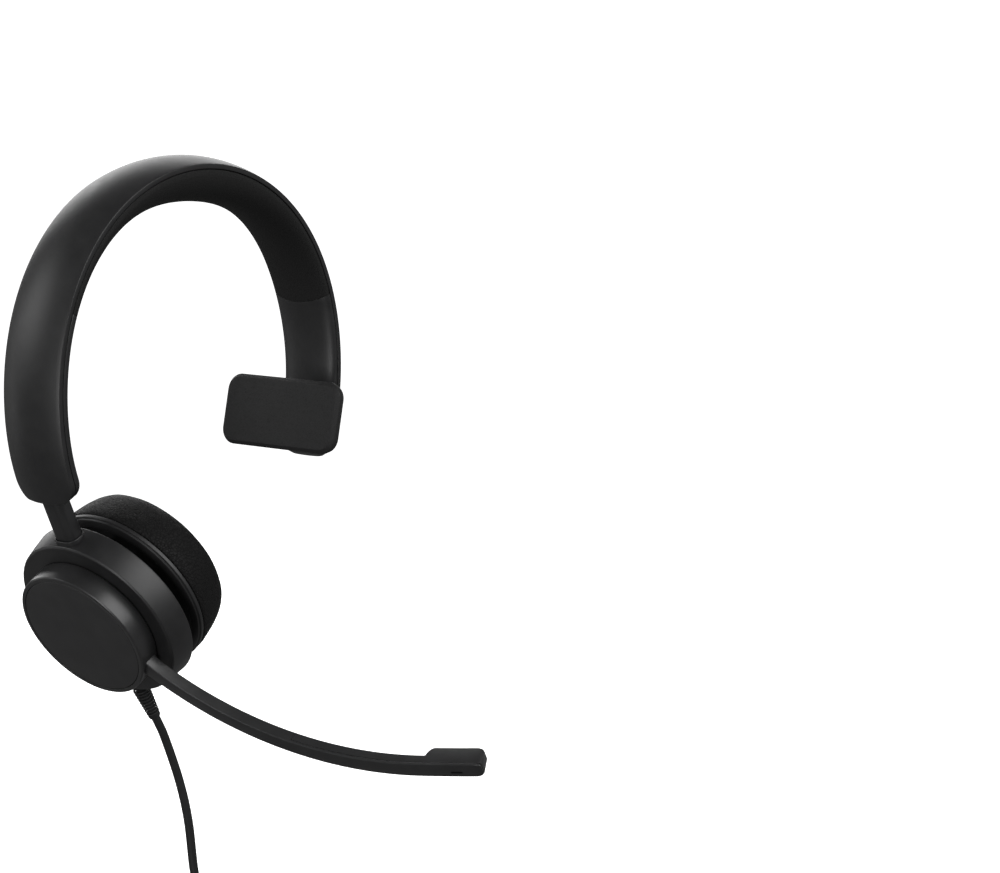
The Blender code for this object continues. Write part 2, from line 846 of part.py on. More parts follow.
def make_gimbal():
    outer = gimbal_ring_radius
    inner = outer - gimbal_ring_wide
    half = gimbal_ring_thick / 2.0
    ring = turned(
        "gimbal_ring",
        [(inner, half), (outer, half), (outer, -half), (inner, -half)],
        gimbal,
        Matrix(),
        inner_plastic,
        28,
    )
    cut(ring, pin_bore("ring_bore_x", gimbal, "X", 0.0), pin_bore("ring_bore_y", gimbal, "Y", 0.0))
    inside = inner + 0.3 * mm
    outside = outer + lug_gap + lug_thick
    for name, axis, side in (
        ("plate_pin_front", "Y", 1.0),
        ("plate_pin_rear", "Y", -1.0),
        ("cup_pin_upper", "X", -1.0),
        ("cup_pin_lower", "X", 1.0),
    ):
        turn = Matrix.Rotation(math.radians(90.0 * side), 4, axis)
        cylinder(name, pin_radius, inside, outside, gimbal, turn, brass, 12)


def make_ear_cup():
    driver_hole = driver_radius + gap
    rim = baffle_radius - 2.95 * mm
    recess = lug_radius + lug_thick + 1.6 * mm
    baffle = cup_turned(
        "cup_baffle",
        [
            (driver_hole, baffle_rear + 1.2 * mm),
            (recess, baffle_rear + 1.2 * mm),
            (recess, baffle_rear),
            (baffle_radius - 1.85 * mm, baffle_rear),
            (baffle_radius, baffle_rear + 0.75 * mm),
            (baffle_radius, baffle_rear + 1.0 * mm),
            (rim, baffle_rear + 1.0 * mm),
            (rim, baffle_front),
            (driver_hole, baffle_front),
        ],
        black_plastic,
        gimbal,
        gimbal_level,
    )
    for side in (-1.0, 1.0):
        y = side * (lug_radius + lug_thick / 2.0)
        tip = -(pin_radius + 0.8 * mm)
        foot = baffle_rear + 1.6 * mm - gimbal_level
        size = (lug_wide, lug_thick, foot - tip)
        name = "baffle_lug_" + ("upper" if side > 0 else "lower")
        join(baffle, box(name, size, (0.0, y, -(foot + tip) / 2.0), gimbal, Matrix(), None, 0.0, cutters))
    cut(baffle, pin_bore("baffle_bore", gimbal, "Y", 0.0))

    def on_cup(name, profile, look, steps=28):
        return cup_turned(name, profile, look, gimbal, gimbal_level, steps)

    flange = baffle_rear + 0.6 * mm
    on_cup(
        "speaker_magnet",
        [
            (0.0, flange - gap - magnet_thick),
            (magnet_radius, flange - gap - magnet_thick),
            (magnet_radius, flange - gap),
            (0.0, flange - gap),
        ],
        steel,
        32,
    )
    on_cup(
        "speaker_basket",
        [
            (5.0 * mm, flange),
            (driver_radius, flange),
            (driver_radius, baffle_front - 0.1 * mm),
            (driver_radius - 1.5 * mm, baffle_front - 0.1 * mm),
            (driver_radius - 1.5 * mm, flange + 0.9 * mm),
            (5.0 * mm, flange + 0.9 * mm),
        ],
        steel,
    )
    skin = flange + 1.2 * mm
    reach = driver_radius - 1.8 * mm
    on_cup(
        "speaker_diaphragm",
        [
            (0.0, skin + 0.5 * mm),
            (4.0 * mm, skin + 0.1 * mm),
            (reach, skin + 0.1 * mm),
            (reach, skin + 0.4 * mm),
            (4.0 * mm, skin + 0.4 * mm),
            (0.0, skin + 0.8 * mm),
        ],
        inner_plastic,
    )
    grille_front = baffle_front + gap
    carrier_bore = driver_radius + 2.0 * mm
    grille_edge = carrier_bore - gap
    grille_back = grille_front + 0.8 * mm
    grille = on_cup(
        "speaker_grille",
        [(0.0, grille_front), (grille_edge, grille_front), (grille_edge, grille_back), (0.0, grille_back)],
        inner_plastic,
    )
    for ring, count in ((0.0, 1), (5.2 * mm, 6), (10.4 * mm, 8)):
        for i in range(count):
            x, y = around(ring, 360.0 * i / count + 7.0)
            low = grille_front - 1.0 * mm
            name = "grille_hole_%d_%d" % (count, i)
            cut(grille, cup_drill(name, 1.2 * mm, low, low + 3.0 * mm, x, y, gimbal, gimbal_level, 8))
    scrim = grille_front + 1.15 * mm
    on_cup(
        "scrim_cloth",
        [(0.0, scrim), (grille_edge, scrim), (grille_edge, scrim + 0.3 * mm), (0.0, scrim + 0.3 * mm)],
        cloth,
    )
    carrier_front = grille_front
    carrier_back = carrier_front + 1.8 * mm
    on_cup(
        "cushion_ring",
        [
            (carrier_bore, carrier_front),
            (rim, carrier_front),
            (rim, carrier_back),
            (carrier_bore, carrier_back),
        ],
        inner_plastic,
    )
    seat = baffle_rear + 1.0 * mm + gap
    pocket = carrier_back + gap
    lip = rim + gap
    height = cushion_face - seat
    outer = [(0.035, -0.3), (0.10, 0.0), (0.25, -0.25), (0.50, -1.2)]
    outer += [(0.72, -2.5), (0.87, -4.0), (0.955, -6.4), (0.995, -9.0)]
    inner = [(1.0, 7.5), (0.97, 4.2), (0.89, 1.8), (0.76, 0.4), (0.6, 0.0)]
    profile = [(cushion_radius - 0.9 * mm, seat)]
    profile += [(cushion_radius + change * mm, seat + share * height) for share, change in outer]
    profile += [(cushion_hole + change * mm, seat + share * height) for share, change in inner]
    profile += [(cushion_hole, pocket), (lip, pocket), (lip, seat)]
    on_cup("ear_cushion", profile, soft_black, 36)


# ------------------------------------------------------------------ boom
def boom_point(share):
    """(forward, up, depth) of the boom's middle line in the cup's frame."""
    steps = 60
    forward, drop = around(hub_radius, boom_root_angle)
    for i in range(steps):
        here = share * (i + 0.5) / steps
        heading = math.radians(boom_heading + boom_turn * min(here, boom_straight))
        forward += boom_length * share / steps * math.cos(heading)
        drop += boom_length * share / steps * math.sin(heading)
    return Vector((forward, -drop, -(boom_level + boom_reach_in * share * share)))


def boom_axes(share):
    along = (boom_point(share + 0.004) - boom_point(share - 0.004)).normalized()
    in_plane = Vector((-along.y, along.x, 0.0)).normalized()
    inwards = along.cross(in_plane)
    if inwards.z > 0.0:
        inwards.negate()
    return in_plane, inwards


def boom_ring(share, low, high, shrink, round_low, round_high):
    """A rounded section: across is in the boom's plane, low to high is inwards along the cup's axis."""
    centre = boom_point(share)
    across, inwards = boom_axes(share)
    half = boom_height / 2.0 - shrink
    points = []
    corners = ((1, low, round_low), (1, high, round_high), (-1, high, round_high), (-1, low, round_low))
    turns = ((-90.0, 0.0), (0.0, 90.0), (90.0, 180.0), (180.0, 270.0))
    for (side, level, radius), (first, last) in zip(corners, turns):
        sign = -1.0 if level == low else 1.0
        base = level - sign * radius
        for step in range(3):
            a = math.radians(first + (last - first) * step / 2.0)
            points.append(
                centre
                + across * (side * (half - radius) + radius * math.cos(a))
                + inwards * (base + radius * math.sin(a))
            )
    return points


def make_boom():
    hub = cup_turned(
        "boom_hub",
        [
            (axle_bore, hub_back),
            (hub_cap_radius + 0.15 * mm, hub_back),
            (hub_cap_radius + 0.15 * mm, 0.0),
            (hub_radius - 0.5 * mm, 0.0),
            (hub_radius - 0.1 * mm, 0.2 * mm),
            (hub_radius, 0.6 * mm),
            (hub_radius, hub_depth),
            (hub_radius - hub_wall, hub_depth),
            (hub_radius - hub_wall, hub_back + hub_wall),
            (axle_radius, hub_back + hub_wall),
            (axle_radius, axle_end),
            (axle_bore, axle_end),
        ],
        hub_plastic,
        steps=44,
    )
    half = boom_thick / 2.0
    split = 0.3 * mm
    seam_gap = 0.25 * mm
    step_at = boom_seam_start
    rings = []
    shares = [-0.014, 0.0, 0.03] + [0.03 + (step_at - 0.03) * i / 7.0 for i in range(1, 8)]
    for share in shares:
        rings.append(boom_ring(share, -half, half, 0.0, 1.0 * mm, 1.0 * mm))
    tail = [step_at + 0.0008] + [step_at + (0.97 - step_at) * i / 9.0 for i in range(1, 10)]
    for share in tail:
        rings.append(boom_ring(share, -half, split, 0.0, 1.0 * mm, 0.1 * mm))
    for share, shrink, lift in ((0.985, 0.35, 0.15), (0.995, 1.0, 0.6), (1.0, 1.7, 1.3)):
        rings.append(boom_ring(share, -half + lift * mm, split, shrink * mm, 0.8 * mm, 0.1 * mm))
    arm = loft("boom_arm_body", rings, cup, None, cutters)
    join(hub, arm)

    block = 1.0 - mic_block_length / boom_length
    start = step_at + 0.0035
    rings = []
    shares = [(start + (block - 0.02 - start) * i / 6.0, half, 0.0) for i in range(7)]
    high = half + mic_block_rise
    shares += [(block, half + 0.1 * mm, 0.0), (block + 0.004, half + 1.3 * mm, 0.0)]
    shares += [(block + 0.014, high - 1.0 * mm, 0.0), (block + 0.03, high - 0.25 * mm, 0.0)]
    shares += [(block + 0.05, high, 0.0), (0.93, high, 0.0), (0.965, high - 0.2 * mm, 0.1)]
    shares += [(0.985, high - 0.9 * mm, 0.4), (0.995, high - 1.9 * mm, 1.0), (1.0, high - 2.9 * mm, 1.7)]
    for share, level, shrink in shares:
        rings.append(boom_ring(share, split + seam_gap, level, shrink * mm, 0.1 * mm, 0.9 * mm))
    cover = loft("boom_cover", rings, cup, hub_plastic)

    middle = (block + 1.0) / 2.0 + 0.01
    across, inwards = boom_axes(middle)
    along = across.cross(inwards)
    if across.cross(along).dot(inwards) < 0.0:
        along.negate()
    turn = Matrix((across, along, inwards)).transposed().to_4x4()
    spot = Matrix.Translation(boom_point(middle)) @ turn
    floor = high - 0.9 * mm
    bore = cylinder("mic_bore", mic_radius + 0.25 * mm, -0.5 * mm, floor, cup, spot, None, 20, cutters)
    port = cylinder("mic_port", 0.9 * mm, floor - 0.4 * mm, high + 2.0 * mm, cup, spot, None, 12, cutters)
    cut(cover, bore, port)
    vent_size = (1.0 * mm, 4.4 * mm, 4.0 * mm)
    cut(hub, box("vent_slot", vent_size, (-0.8 * mm, 0.0, -boom_thick / 2.0), cup, spot, None, 0.0, cutters))
    cylinder("mic_mesh", mic_radius, floor - 0.45 * mm, floor - 0.2 * mm, cup, spot, steel, 20)
    boot_high = floor - 0.75 * mm
    turned(
        "mic_boot",
        [
            (mic_radius - 0.55 * mm, split + 0.6 * mm),
            (mic_radius, split + 0.6 * mm),
            (mic_radius, boot_high),
            (mic_radius - 0.55 * mm, boot_high),
        ],
        cup,
        spot,
        soft_black,
        20,
    )
    cylinder(
        "mic_capsule", mic_radius - 0.75 * mm, split + 1.2 * mm, boot_high - 0.3 * mm, cup, spot, brass, 20
    )

    cap_edge = hub_cap_radius
    cup_turned(
        "hub_cap",
        [
            (0.0, 0.0),
            (cap_edge - 0.35 * mm, 0.0),
            (cap_edge, 0.3 * mm),
            (cap_edge, hub_back - gap),
            (0.0, hub_back - gap),
        ],
        hub_plastic,
        steps=44,
    )
    seat = axle_end + gap
    rear = seat + retainer_thick
    flange = axle_radius + 2.9 * mm
    retainer = cup_turned(
        "hub_retainer",
        [(axle_bore, seat), (flange, seat), (flange, rear), (axle_bore, rear)],
        inner_plastic,
        steps=32,
    )
    for i, name in enumerate(("retainer_screw_top", "retainer_screw_rear", "retainer_screw_front")):
        x, y = around((axle_radius + axle_bore) / 2.0, 90.0 + 120.0 * i)
        drill = cup_drill(name + "_hole", 0.8 * mm, axle_end - 4.2 * mm, rear + 1.0 * mm, x, y)
        cut(hub, drill)
        cut(retainer, drill)
        small_screw(name, x, y, axle_end - 4.0 * mm, rear, head=1.3 * mm, shank=0.6 * mm, thick=0.6 * mm)


# ------------------------------------------------------------------ temple pad
def make_temple():
    leg = band_axis(temple_angle)
    inner = leg_depth(temple_angle)
    pivot_depth = inner + 6.2 * mm
    face = inner + temple_post_length + 0.25 * mm
    pivot = frame_at("temple_pivot", arch, leg @ Matrix.Translation((0.0, 0.0, -pivot_depth)))
    wide = 4.4 * mm
    foot = inner + gap
    spigot = 3.0 * mm
    wall_in = inner - cover_wall
    post = turned(
        "temple_post",
        [
            (0.0, -(foot + 2.6 * mm)),
            (temple_post_radius, -(foot + 2.6 * mm)),
            (temple_post_radius, -foot),
            (spigot, -foot),
            (spigot, -(wall_in - 0.1 * mm)),
            (0.0, -(wall_in - 0.1 * mm)),
        ],
        arch,
        leg,
        black_plastic,
        32,
    )
    tongue_low = -(pivot_depth + 2.2 * mm)
    tongue_high = -(foot + 1.0 * mm)
    tongue = box(
        "post_tongue",
        (wide, 7.0 * mm, tongue_high - tongue_low),
        (0.0, 0.0, (tongue_high + tongue_low) / 2.0),
        arch,
        leg,
        None,
        0.0,
        cutters,
    )
    join(post, tongue)
    turn = Matrix.Translation((0.0, 0.0, -pivot_depth)) @ Matrix.Rotation(math.radians(90.0), 4, "Y")
    pin_hole = pin_radius + gap / 2.0
    long = 20.0 * mm
    bore = cylinder("temple_bore", pin_hole, -long, long, arch, leg @ turn, None, 12, cutters)
    tap_low = -(foot + 2.4 * mm)
    tap = cylinder("temple_tap", screw_radius + gap, tap_low, 5.0 * mm, arch, leg, None, 12, cutters)
    cut(post, bore, tap)
    cover = bpy.data.objects["right_leg_cover"]
    hole = cylinder("post_hole", spigot + gap, -(inner + 2.0 * mm), 2.0 * mm, arch, leg, None, 20, cutters)
    cut(cover, hole)
    seat = -(wall_in - 0.1 * mm - gap)
    turned(
        "temple_screw",
        [
            (0.0, -(foot + 2.0 * mm)),
            (screw_radius, -(foot + 2.0 * mm)),
            (screw_radius, seat),
            (spigot + 1.3 * mm, seat),
            (spigot + 1.3 * mm, seat + 1.0 * mm),
            (0.0, seat + 1.0 * mm),
        ],
        arch,
        leg,
        brass,
        16,
    )

    length, height = temple_pad_size
    plate_back = -(face - pivot_depth)
    shift = Matrix.Translation((0.0, temple_drop, 0.0))
    plate = slab(
        "temple_plate",
        rounded_outline(length - 1.4 * mm, height - 1.4 * mm, temple_corner - 0.7 * mm),
        plate_back - temple_plate_thick,
        plate_back,
        pivot,
        shift,
        black_plastic,
        0.3 * mm,
    )
    ear = (2.4 * mm, 6.6 * mm)
    for side in (-1.0, 1.0):
        centre_x = side * (wide / 2.0 + gap + ear[0] / 2.0)
        high = 2.0 * mm
        low = plate_back - 0.8 * mm
        name = "temple_ear_" + ("front" if side > 0 else "rear")
        size = (ear[0], ear[1], high - low)
        centre = (centre_x, 0.0, (high + low) / 2.0)
        join(plate, box(name, size, centre, pivot, Matrix(), None, 0.0, cutters))
    turn = Matrix.Rotation(math.radians(90.0), 4, "Y")
    cut(plate, cylinder("ear_bore", pin_hole, -long, long, pivot, turn, None, 12, cutters))
    reach = wide / 2.0 + gap + ear[0]
    cylinder("temple_pin", pin_radius, -reach, reach, pivot, turn, brass, 12)
    front = plate_back - temple_plate_thick - 0.15 * mm
    slab(
        "temple_pad",
        rounded_outline(length, height, temple_corner, 7),
        front - temple_face_thick,
        front,
        pivot,
        shift,
        soft_black,
        1.1 * mm,
    )


# ------------------------------------------------------------------ cord
def smooth_path(knots, spacing):
    """Evenly spaced points on a centripetal curve through the knots."""
    dense = []
    ends = [knots[0] * 2.0 - knots[1]] + knots + [knots[-1] * 2.0 - knots[-2]]
    for a, b, c, d in zip(ends, ends[1:], ends[2:], ends[3:]):
        for i in range(24):
            t = i / 24.0
            square = (a * 2.0 - b * 5.0 + c * 4.0 - d) * t**2
            cube = (b * 3.0 - a - c * 3.0 + d) * t**3
            dense.append(0.5 * (b * 2.0 + (c - a) * t + square + cube))
    dense.append(knots[-1].copy())
    lengths = [0.0]
    for a, b in zip(dense, dense[1:]):
        lengths.append(lengths[-1] + (b - a).length)
    count = max(3, round(lengths[-1] / spacing))
    found = []
    at = 0
    for i in range(count + 1):
        goal = lengths[-1] * i / count
        while at < len(lengths) - 2 and lengths[at + 1] < goal:
            at += 1
        span = lengths[at + 1] - lengths[at]
        found.append(dense[at].lerp(dense[at + 1], (goal - lengths[at]) / span))
    return found


def tube(name, knots, radius, spacing, look, parent=None):
    wire = bpy.data.curves.new(name, "CURVE")
    wire.dimensions = "3D"
    points = smooth_path([Vector(knot) for knot in knots], spacing)
    line = wire.splines.new("POLY")
    line.points.add(len(points) - 1)
    for point, where in zip(line.points, points):
        point.co = (*where, 1.0)
    wire.bevel_depth = radius
    wire.bevel_resolution = 2
    wire.use_fill_caps = True
    made = place(name, wire, parent, Matrix(), None)
    return as_mesh(made, look)


def make_cord():
    wall = rear_wall_radius(gland_level)
    exit_point = cup_world @ Vector((0.0, -(wall + gland_length + gap), -gland_level))
    heading = -(cup_world.to_3x3() @ Vector((0.0, 1.0, 0.0)))
    centre = exit_point + Vector((coil_side, 0.0, -coil_drop))
    ring = coil_radius
    bundle = coil_bundle / 2.0
    line_x = centre.x + ring * math.sin(math.radians(coil_entry))
    touch = ring + bundle + cord_diameter / 2.0
    entry = Vector((line_x, 0.0, centre.z + math.sqrt(touch**2 - (line_x - centre.x) ** 2) + gap))
    knots = [
        exit_point,
        exit_point + heading * 3.0 * mm,
        exit_point + heading * 10.0 * mm + Vector((0.2 * mm, 0.0, -1.0 * mm)),
        exit_point + Vector((13.2 * mm, 0.0, -27.7 * mm)),
        exit_point + Vector((18.2 * mm, 0.0, -44.6 * mm)),
        Vector((line_x - 1.2 * mm, 0.0, exit_point.z - 66.6 * mm)),
        Vector((line_x, 0.0, entry.z + 14.0 * mm)),
        entry,
    ]
    tube("cord_tube", knots, cord_diameter / 2.0, 8.0 * mm, cord_black)
    where = Matrix.Translation(centre) @ Matrix.Rotation(math.radians(90.0), 4, "X")
    profile = []
    for i in range(10):
        a = 2.0 * math.pi * i / 10.0
        profile.append((ring + bundle * math.cos(a), bundle * math.sin(a)))
    turned("cord_coil", profile, None, where, cord_black, 26)

    tie_angle = math.radians(205.0)
    spot = Vector((centre.x + ring * math.cos(tie_angle), 0.0, centre.z + ring * math.sin(tie_angle)))
    direction = Vector((-math.sin(tie_angle), 0.0, math.cos(tie_angle)))
    tie_turn = direction.to_track_quat("Z", "Y").to_matrix().to_4x4()
    inner = bundle + 0.75 * mm
    turned(
        "cable_tie",
        [(inner, -4.0 * mm), (inner + 1.0 * mm, -4.0 * mm), (inner + 1.0 * mm, 4.0 * mm), (inner, 4.0 * mm)],
        None,
        Matrix.Translation(spot) @ tie_turn,
        soft_black,
        24,
    )

    tail_drop = math.sqrt((touch + gap) ** 2 - tail_side**2)
    tail_top = centre + Vector((tail_side, 0.0, -tail_drop))
    tail_end = tail_top + Vector((-0.8 * mm, 0.0, -tail_length))
    middle = tail_top.lerp(tail_end, 0.5) + Vector((0.3 * mm, 0.0, 0.0))
    tube(
        "cord_tail",
        [tail_top, middle, tail_end],
        cord_diameter / 2.0,
        7.0 * mm,
        cord_black,
    )
    make_plug(tail_end - Vector((0.0, 0.0, gap)))


def make_plug(top):
    wide, thick, tall = plug_size
    neck = 8.0 * mm
    where = Matrix.Translation(top)
    steps = [(0.0, 4.6, 4.6), (0.25, 4.8, 4.8), (0.30, 4.2, 4.2)]
    steps += [(0.55, 5.0, 4.6), (0.60, 4.4, 4.2), (0.9, 6.2, 5.2)]
    rings = []
    for share, x_size, y_size in steps:
        rings.append((x_size * mm, y_size * mm, -neck * share, 2.0 * mm))
    rings += [
        (wide - 3.0 * mm, thick - 1.2 * mm, -neck, 2.2 * mm),
        (wide - 0.6 * mm, thick - 0.2 * mm, -neck - 1.6 * mm, 2.0 * mm),
        (wide, thick, -neck - 3.0 * mm, 1.6 * mm),
        (wide, thick, -neck - tall + 0.8 * mm, 1.6 * mm),
        (wide - 0.8 * mm, thick - 0.8 * mm, -neck - tall, 1.4 * mm),
    ]
    sections = []
    for x_size, y_size, level, corner in rings:
        outline = rounded_outline(x_size, y_size, min(corner, x_size / 2.1, y_size / 2.1), 4)
        sections.append([top + Vector((x, y, level)) for x, y in outline])
    body = loft("plug_overmould", sections, None, black_plastic)
    usb_wide, usb_thick, usb_tall = usb_size
    low = -neck - tall - usb_tall
    seat = -neck - tall + 6.0 * mm
    outline = rounded_outline(usb_wide, usb_thick, 0.5 * mm, 3)
    around_shell = rounded_outline(usb_wide + 2.0 * gap, usb_thick + 2.0 * gap, 0.7 * mm, 3)
    inside_shell = rounded_outline(usb_wide - 0.8 * mm, usb_thick - 0.8 * mm, 0.3 * mm, 3)
    below = low - 5.0 * mm
    cut(body, slab("plug_pocket", around_shell, below, seat + gap, None, where, None, collection=cutters))
    shell = slab("plug_shell", outline, low, seat, None, where, steel)
    roof = seat - 0.6 * mm
    cut(shell, slab("shell_bore", inside_shell, below, roof, None, where, None, collection=cutters))
    for side in (-1.0, 1.0):
        name = "shell_window_" + ("right" if side > 0 else "left")
        size = (2.2 * mm, 10.0 * mm, 2.4 * mm)
        centre = (side * 2.8 * mm, 0.0, low + 6.6 * mm)
        cut(shell, box(name, size, centre, None, where, None, 0.0, cutters))
    tongue_thick = 1.6 * mm
    box(
        "plug_tongue",
        (usb_wide - 1.4 * mm, tongue_thick, usb_tall - 3.0 * mm),
        (0.0, usb_thick / 2.0 - 0.7 * mm - tongue_thick / 2.0, low + 1.0 * mm + (usb_tall - 3.0 * mm) / 2.0),
        None,
        where,
        inner_plastic,
    )


cup_world = Matrix.Translation((0.0, 0.0, -crown_inner)) @ Matrix.Translation(cup_centre) @ cup_turn

make_headband()
make_slider()
make_housing()
make_gland()
make_gimbal()
make_ear_cup()
make_boom()
make_temple()
make_cord()
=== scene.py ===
import json
import math

import bmesh
import bpy
from mathutils import Matrix, Vector, noise


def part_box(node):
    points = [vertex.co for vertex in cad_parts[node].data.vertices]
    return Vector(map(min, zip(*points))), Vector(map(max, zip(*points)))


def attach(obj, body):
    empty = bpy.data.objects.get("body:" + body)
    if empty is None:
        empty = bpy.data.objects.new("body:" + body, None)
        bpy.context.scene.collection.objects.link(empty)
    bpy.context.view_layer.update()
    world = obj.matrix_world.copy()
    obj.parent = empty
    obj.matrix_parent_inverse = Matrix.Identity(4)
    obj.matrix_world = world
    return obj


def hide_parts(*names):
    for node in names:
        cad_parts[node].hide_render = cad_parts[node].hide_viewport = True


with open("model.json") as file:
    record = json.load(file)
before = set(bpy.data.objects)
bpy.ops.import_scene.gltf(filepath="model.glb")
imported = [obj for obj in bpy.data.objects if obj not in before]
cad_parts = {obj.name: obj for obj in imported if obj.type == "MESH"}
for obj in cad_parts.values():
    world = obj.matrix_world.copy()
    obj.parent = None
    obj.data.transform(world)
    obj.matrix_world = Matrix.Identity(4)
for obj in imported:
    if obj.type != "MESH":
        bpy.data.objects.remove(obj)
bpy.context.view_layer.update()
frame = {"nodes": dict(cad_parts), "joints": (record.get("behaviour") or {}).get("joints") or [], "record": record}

mm = 0.001
shown = bpy.context.scene.collection
nodes = frame["nodes"]
joints = {joint["name"]: joint for joint in frame["joints"]}
mounts = {mount["name"]: mount for mount in frame["record"]["mounts"]}


def frameOn(origin, outwards):  # X forward, Z out of the face, Y up the piece
    out = Vector(outwards).normalized()
    forward = Vector((0.0, -1.0, 0.0))
    turn = Matrix((forward, out.cross(forward), out)).transposed().to_4x4()
    return Matrix.Translation(origin) @ turn


cupOut = Vector(joints["boom_swing"]["axis"]).normalized()
cupFrame = frameOn(joints["boom_swing"]["pos_m"], cupOut)
templeOut = -Vector(mounts["temple_face"]["axis"]).normalized()
templeFrame = frameOn(joints["temple_tilt"]["pos_m"], templeOut)


# ---- shader maths: a wrapped socket that adds its own nodes
class Wire:
    def __init__(self, tree, socket=None):
        self.tree = tree
        self.socket = socket

    def node(self, kind, settings=None, inputs=None, output=0):
        made = self.tree.nodes.new(kind)
        for name, value in (settings or {}).items():
            setattr(made, name, value)
        for name, value in (inputs or {}).items():
            if isinstance(value, Wire):
                self.tree.links.new(value.socket, made.inputs[name])
            else:
                made.inputs[name].default_value = value
        return Wire(self.tree, made.outputs[output])

    def maths(self, operation, first, second=0.0):
        return self.node("ShaderNodeMath", {"operation": operation}, {0: first, 1: second})

    def __add__(self, other):
        return self.maths("ADD", self, other)

    def __radd__(self, other):
        return self.maths("ADD", other, self)

    def __sub__(self, other):
        return self.maths("SUBTRACT", self, other)

    def __rsub__(self, other):
        return self.maths("SUBTRACT", other, self)

    def __mul__(self, other):
        return self.maths("MULTIPLY", self, other)

    def __rmul__(self, other):
        return self.maths("MULTIPLY", other, self)

    def sine(self):
        return self.maths("SINE", self)

    def size(self):
        return self.maths("ABSOLUTE", self)

    def ramp(self, low, high):  # 0 below low, 1 above high
        inputs = {"Value": self, "From Min": low, "From Max": high}
        return self.node("ShaderNodeMapRange", {"interpolation_type": "SMOOTHSTEP"}, inputs)

    def mixed(self, dark, light):  # a colour, by this share
        settings = {"data_type": "RGBA"}
        return self.node("ShaderNodeMix", settings, {0: self, 6: (*dark, 1.0), 7: (*light, 1.0)}, output=2)


def newMaterial(name, constants):
    made = bpy.data.materials.new(name)
    made.use_nodes = True
    shader = made.node_tree.nodes["Principled BSDF"]
    for socket, value in constants.items():
        shader.inputs[socket].default_value = value
    wire = Wire(made.node_tree)
    place = wire.node("ShaderNodeTexCoord", output="Object")
    return made, shader, wire, place


def feed(wire, shader, socket, value):
    wire.tree.links.new(value.socket, shader.inputs[socket])


def bumpOf(wire, shader, height, strength, distance):
    sizes = {"Height": height, "Strength": strength, "Distance": distance}
    feed(wire, shader, "Normal", wire.node("ShaderNodeBump", None, sizes))


def noiseOf(wire, place, scale, detail=2.0, rough=0.5, stretch=None):
    where = place
    if stretch:
        where = wire.node("ShaderNodeMapping", None, {"Vector": place, "Scale": stretch})
    inputs = {"Vector": where, "Scale": scale, "Detail": detail, "Roughness": rough}
    return wire.node("ShaderNodeTexNoise", None, inputs)


def mouldedPlastic(name, look):
    # Spark-eroded mould skin: fine pits, cloudy polish, a few rubbed flecks
    made, shader, wire, place = newMaterial(name, {"Specular IOR Level": look["specular"], "Metallic": 0.0})
    cloud = noiseOf(wire, place, look["cloudScale"], 3.0, 0.55)
    flow = noiseOf(wire, place, 22.0, 2.0, 0.5, (1.0, 1.0, 0.35))
    pits = noiseOf(wire, place, look["pitScale"], 3.0, 0.65)
    flecks = noiseOf(wire, place, 950.0, 2.0, 0.6).ramp(0.70, 0.78)
    rubbed = noiseOf(wire, place, 60.0, 4.0, 0.7).ramp(0.52, 0.70)
    tone = (cloud * 0.6 + flow * 0.4).ramp(0.30, 0.70)
    feed(wire, shader, "Base Color", (tone + flecks * 0.5).mixed(look["dark"], look["light"]))
    rough = look["rough"] + (cloud - 0.5) * look["cloudRough"] + flecks * 0.10 - rubbed * look["rub"]
    feed(wire, shader, "Roughness", rough + (pits - 0.5) * 0.06)
    bumpOf(wire, shader, pits * 0.8 + flow * 0.2, look["bump"], 0.00004)
    return made


def grainedLeather(name, look):
    # Embossed leatherette: rounded pebbles between creases, smoother on the crests; the base colour is painted
    # lighter on the crests as a painted highlight and darker in the creases as painted shade
    made, shader, wire, place = newMaterial(name, {"Specular IOR Level": look["specular"]})
    drift = noiseOf(wire, place, look["grainScale"] * 0.35, 2.0, 0.5)
    bent = wire.node("ShaderNodeVectorMath", {"operation": "ADD"}, {
        0: place,
        1: wire.node("ShaderNodeVectorMath", {"operation": "SCALE"}, {
            0: drift, "Scale": 0.5 / look["grainScale"],
        }),
    })
    settings = {"feature": "DISTANCE_TO_EDGE"}
    pebbles = wire.node("ShaderNodeTexVoronoi", settings, {
        "Vector": bent, "Scale": look["grainScale"], "Randomness": 0.95,
    })
    crest = pebbles.ramp(0.0, 0.16)
    fine = noiseOf(wire, place, look["grainScale"] * 3.2, 3.0, 0.6)
    wide = noiseOf(wire, place, 45.0, 3.0, 0.55)
    # painted shade and highlight: the base colour darkens in the creases and lightens on the crests, mixed with a
    # random tone
    creaseShadeAndTone = crest * 0.65 + wide * 0.35
    feed(wire, shader, "Base Color", creaseShadeAndTone.mixed(look["dark"], look["light"]))
    feed(wire, shader, "Roughness", look["rough"] + (1.0 - crest) * 0.14 + (wide - 0.5) * 0.12)
    bumpOf(wire, shader, crest * 0.8 + fine * 0.2, look["bump"], look["depth"])
    return made


def knitCloth(name, look):
    # Plain warp knit: columns of small loops
    made, shader, wire, place = newMaterial(name, {"Specular IOR Level": 0.25, "Sheen Weight": 0.25})
    split = made.node_tree.nodes.new("ShaderNodeSeparateXYZ")
    wire.tree.links.new(place.socket, split.inputs[0])
    across = Wire(wire.tree, split.outputs["Y"])
    up = Wire(wire.tree, split.outputs["X"]) * 0.52 - Wire(wire.tree, split.outputs["Z"]) * 0.85
    columns = (across * look["pitch"]).sine()
    loops = (up * look["pitch"] * 1.25 + columns * 0.9).sine()
    thread = columns.size() * 0.5 + loops.size() * 0.5
    fuzz = noiseOf(wire, place, 1900.0, 3.0, 0.7)
    feed(wire, shader, "Base Color", (thread * 0.7 + fuzz * 0.3).mixed(look["dark"], look["light"]))
    feed(wire, shader, "Roughness", 0.82 + fuzz * 0.15)
    bumpOf(wire, shader, thread + fuzz * 0.3, 0.7, 0.00018)
    return made


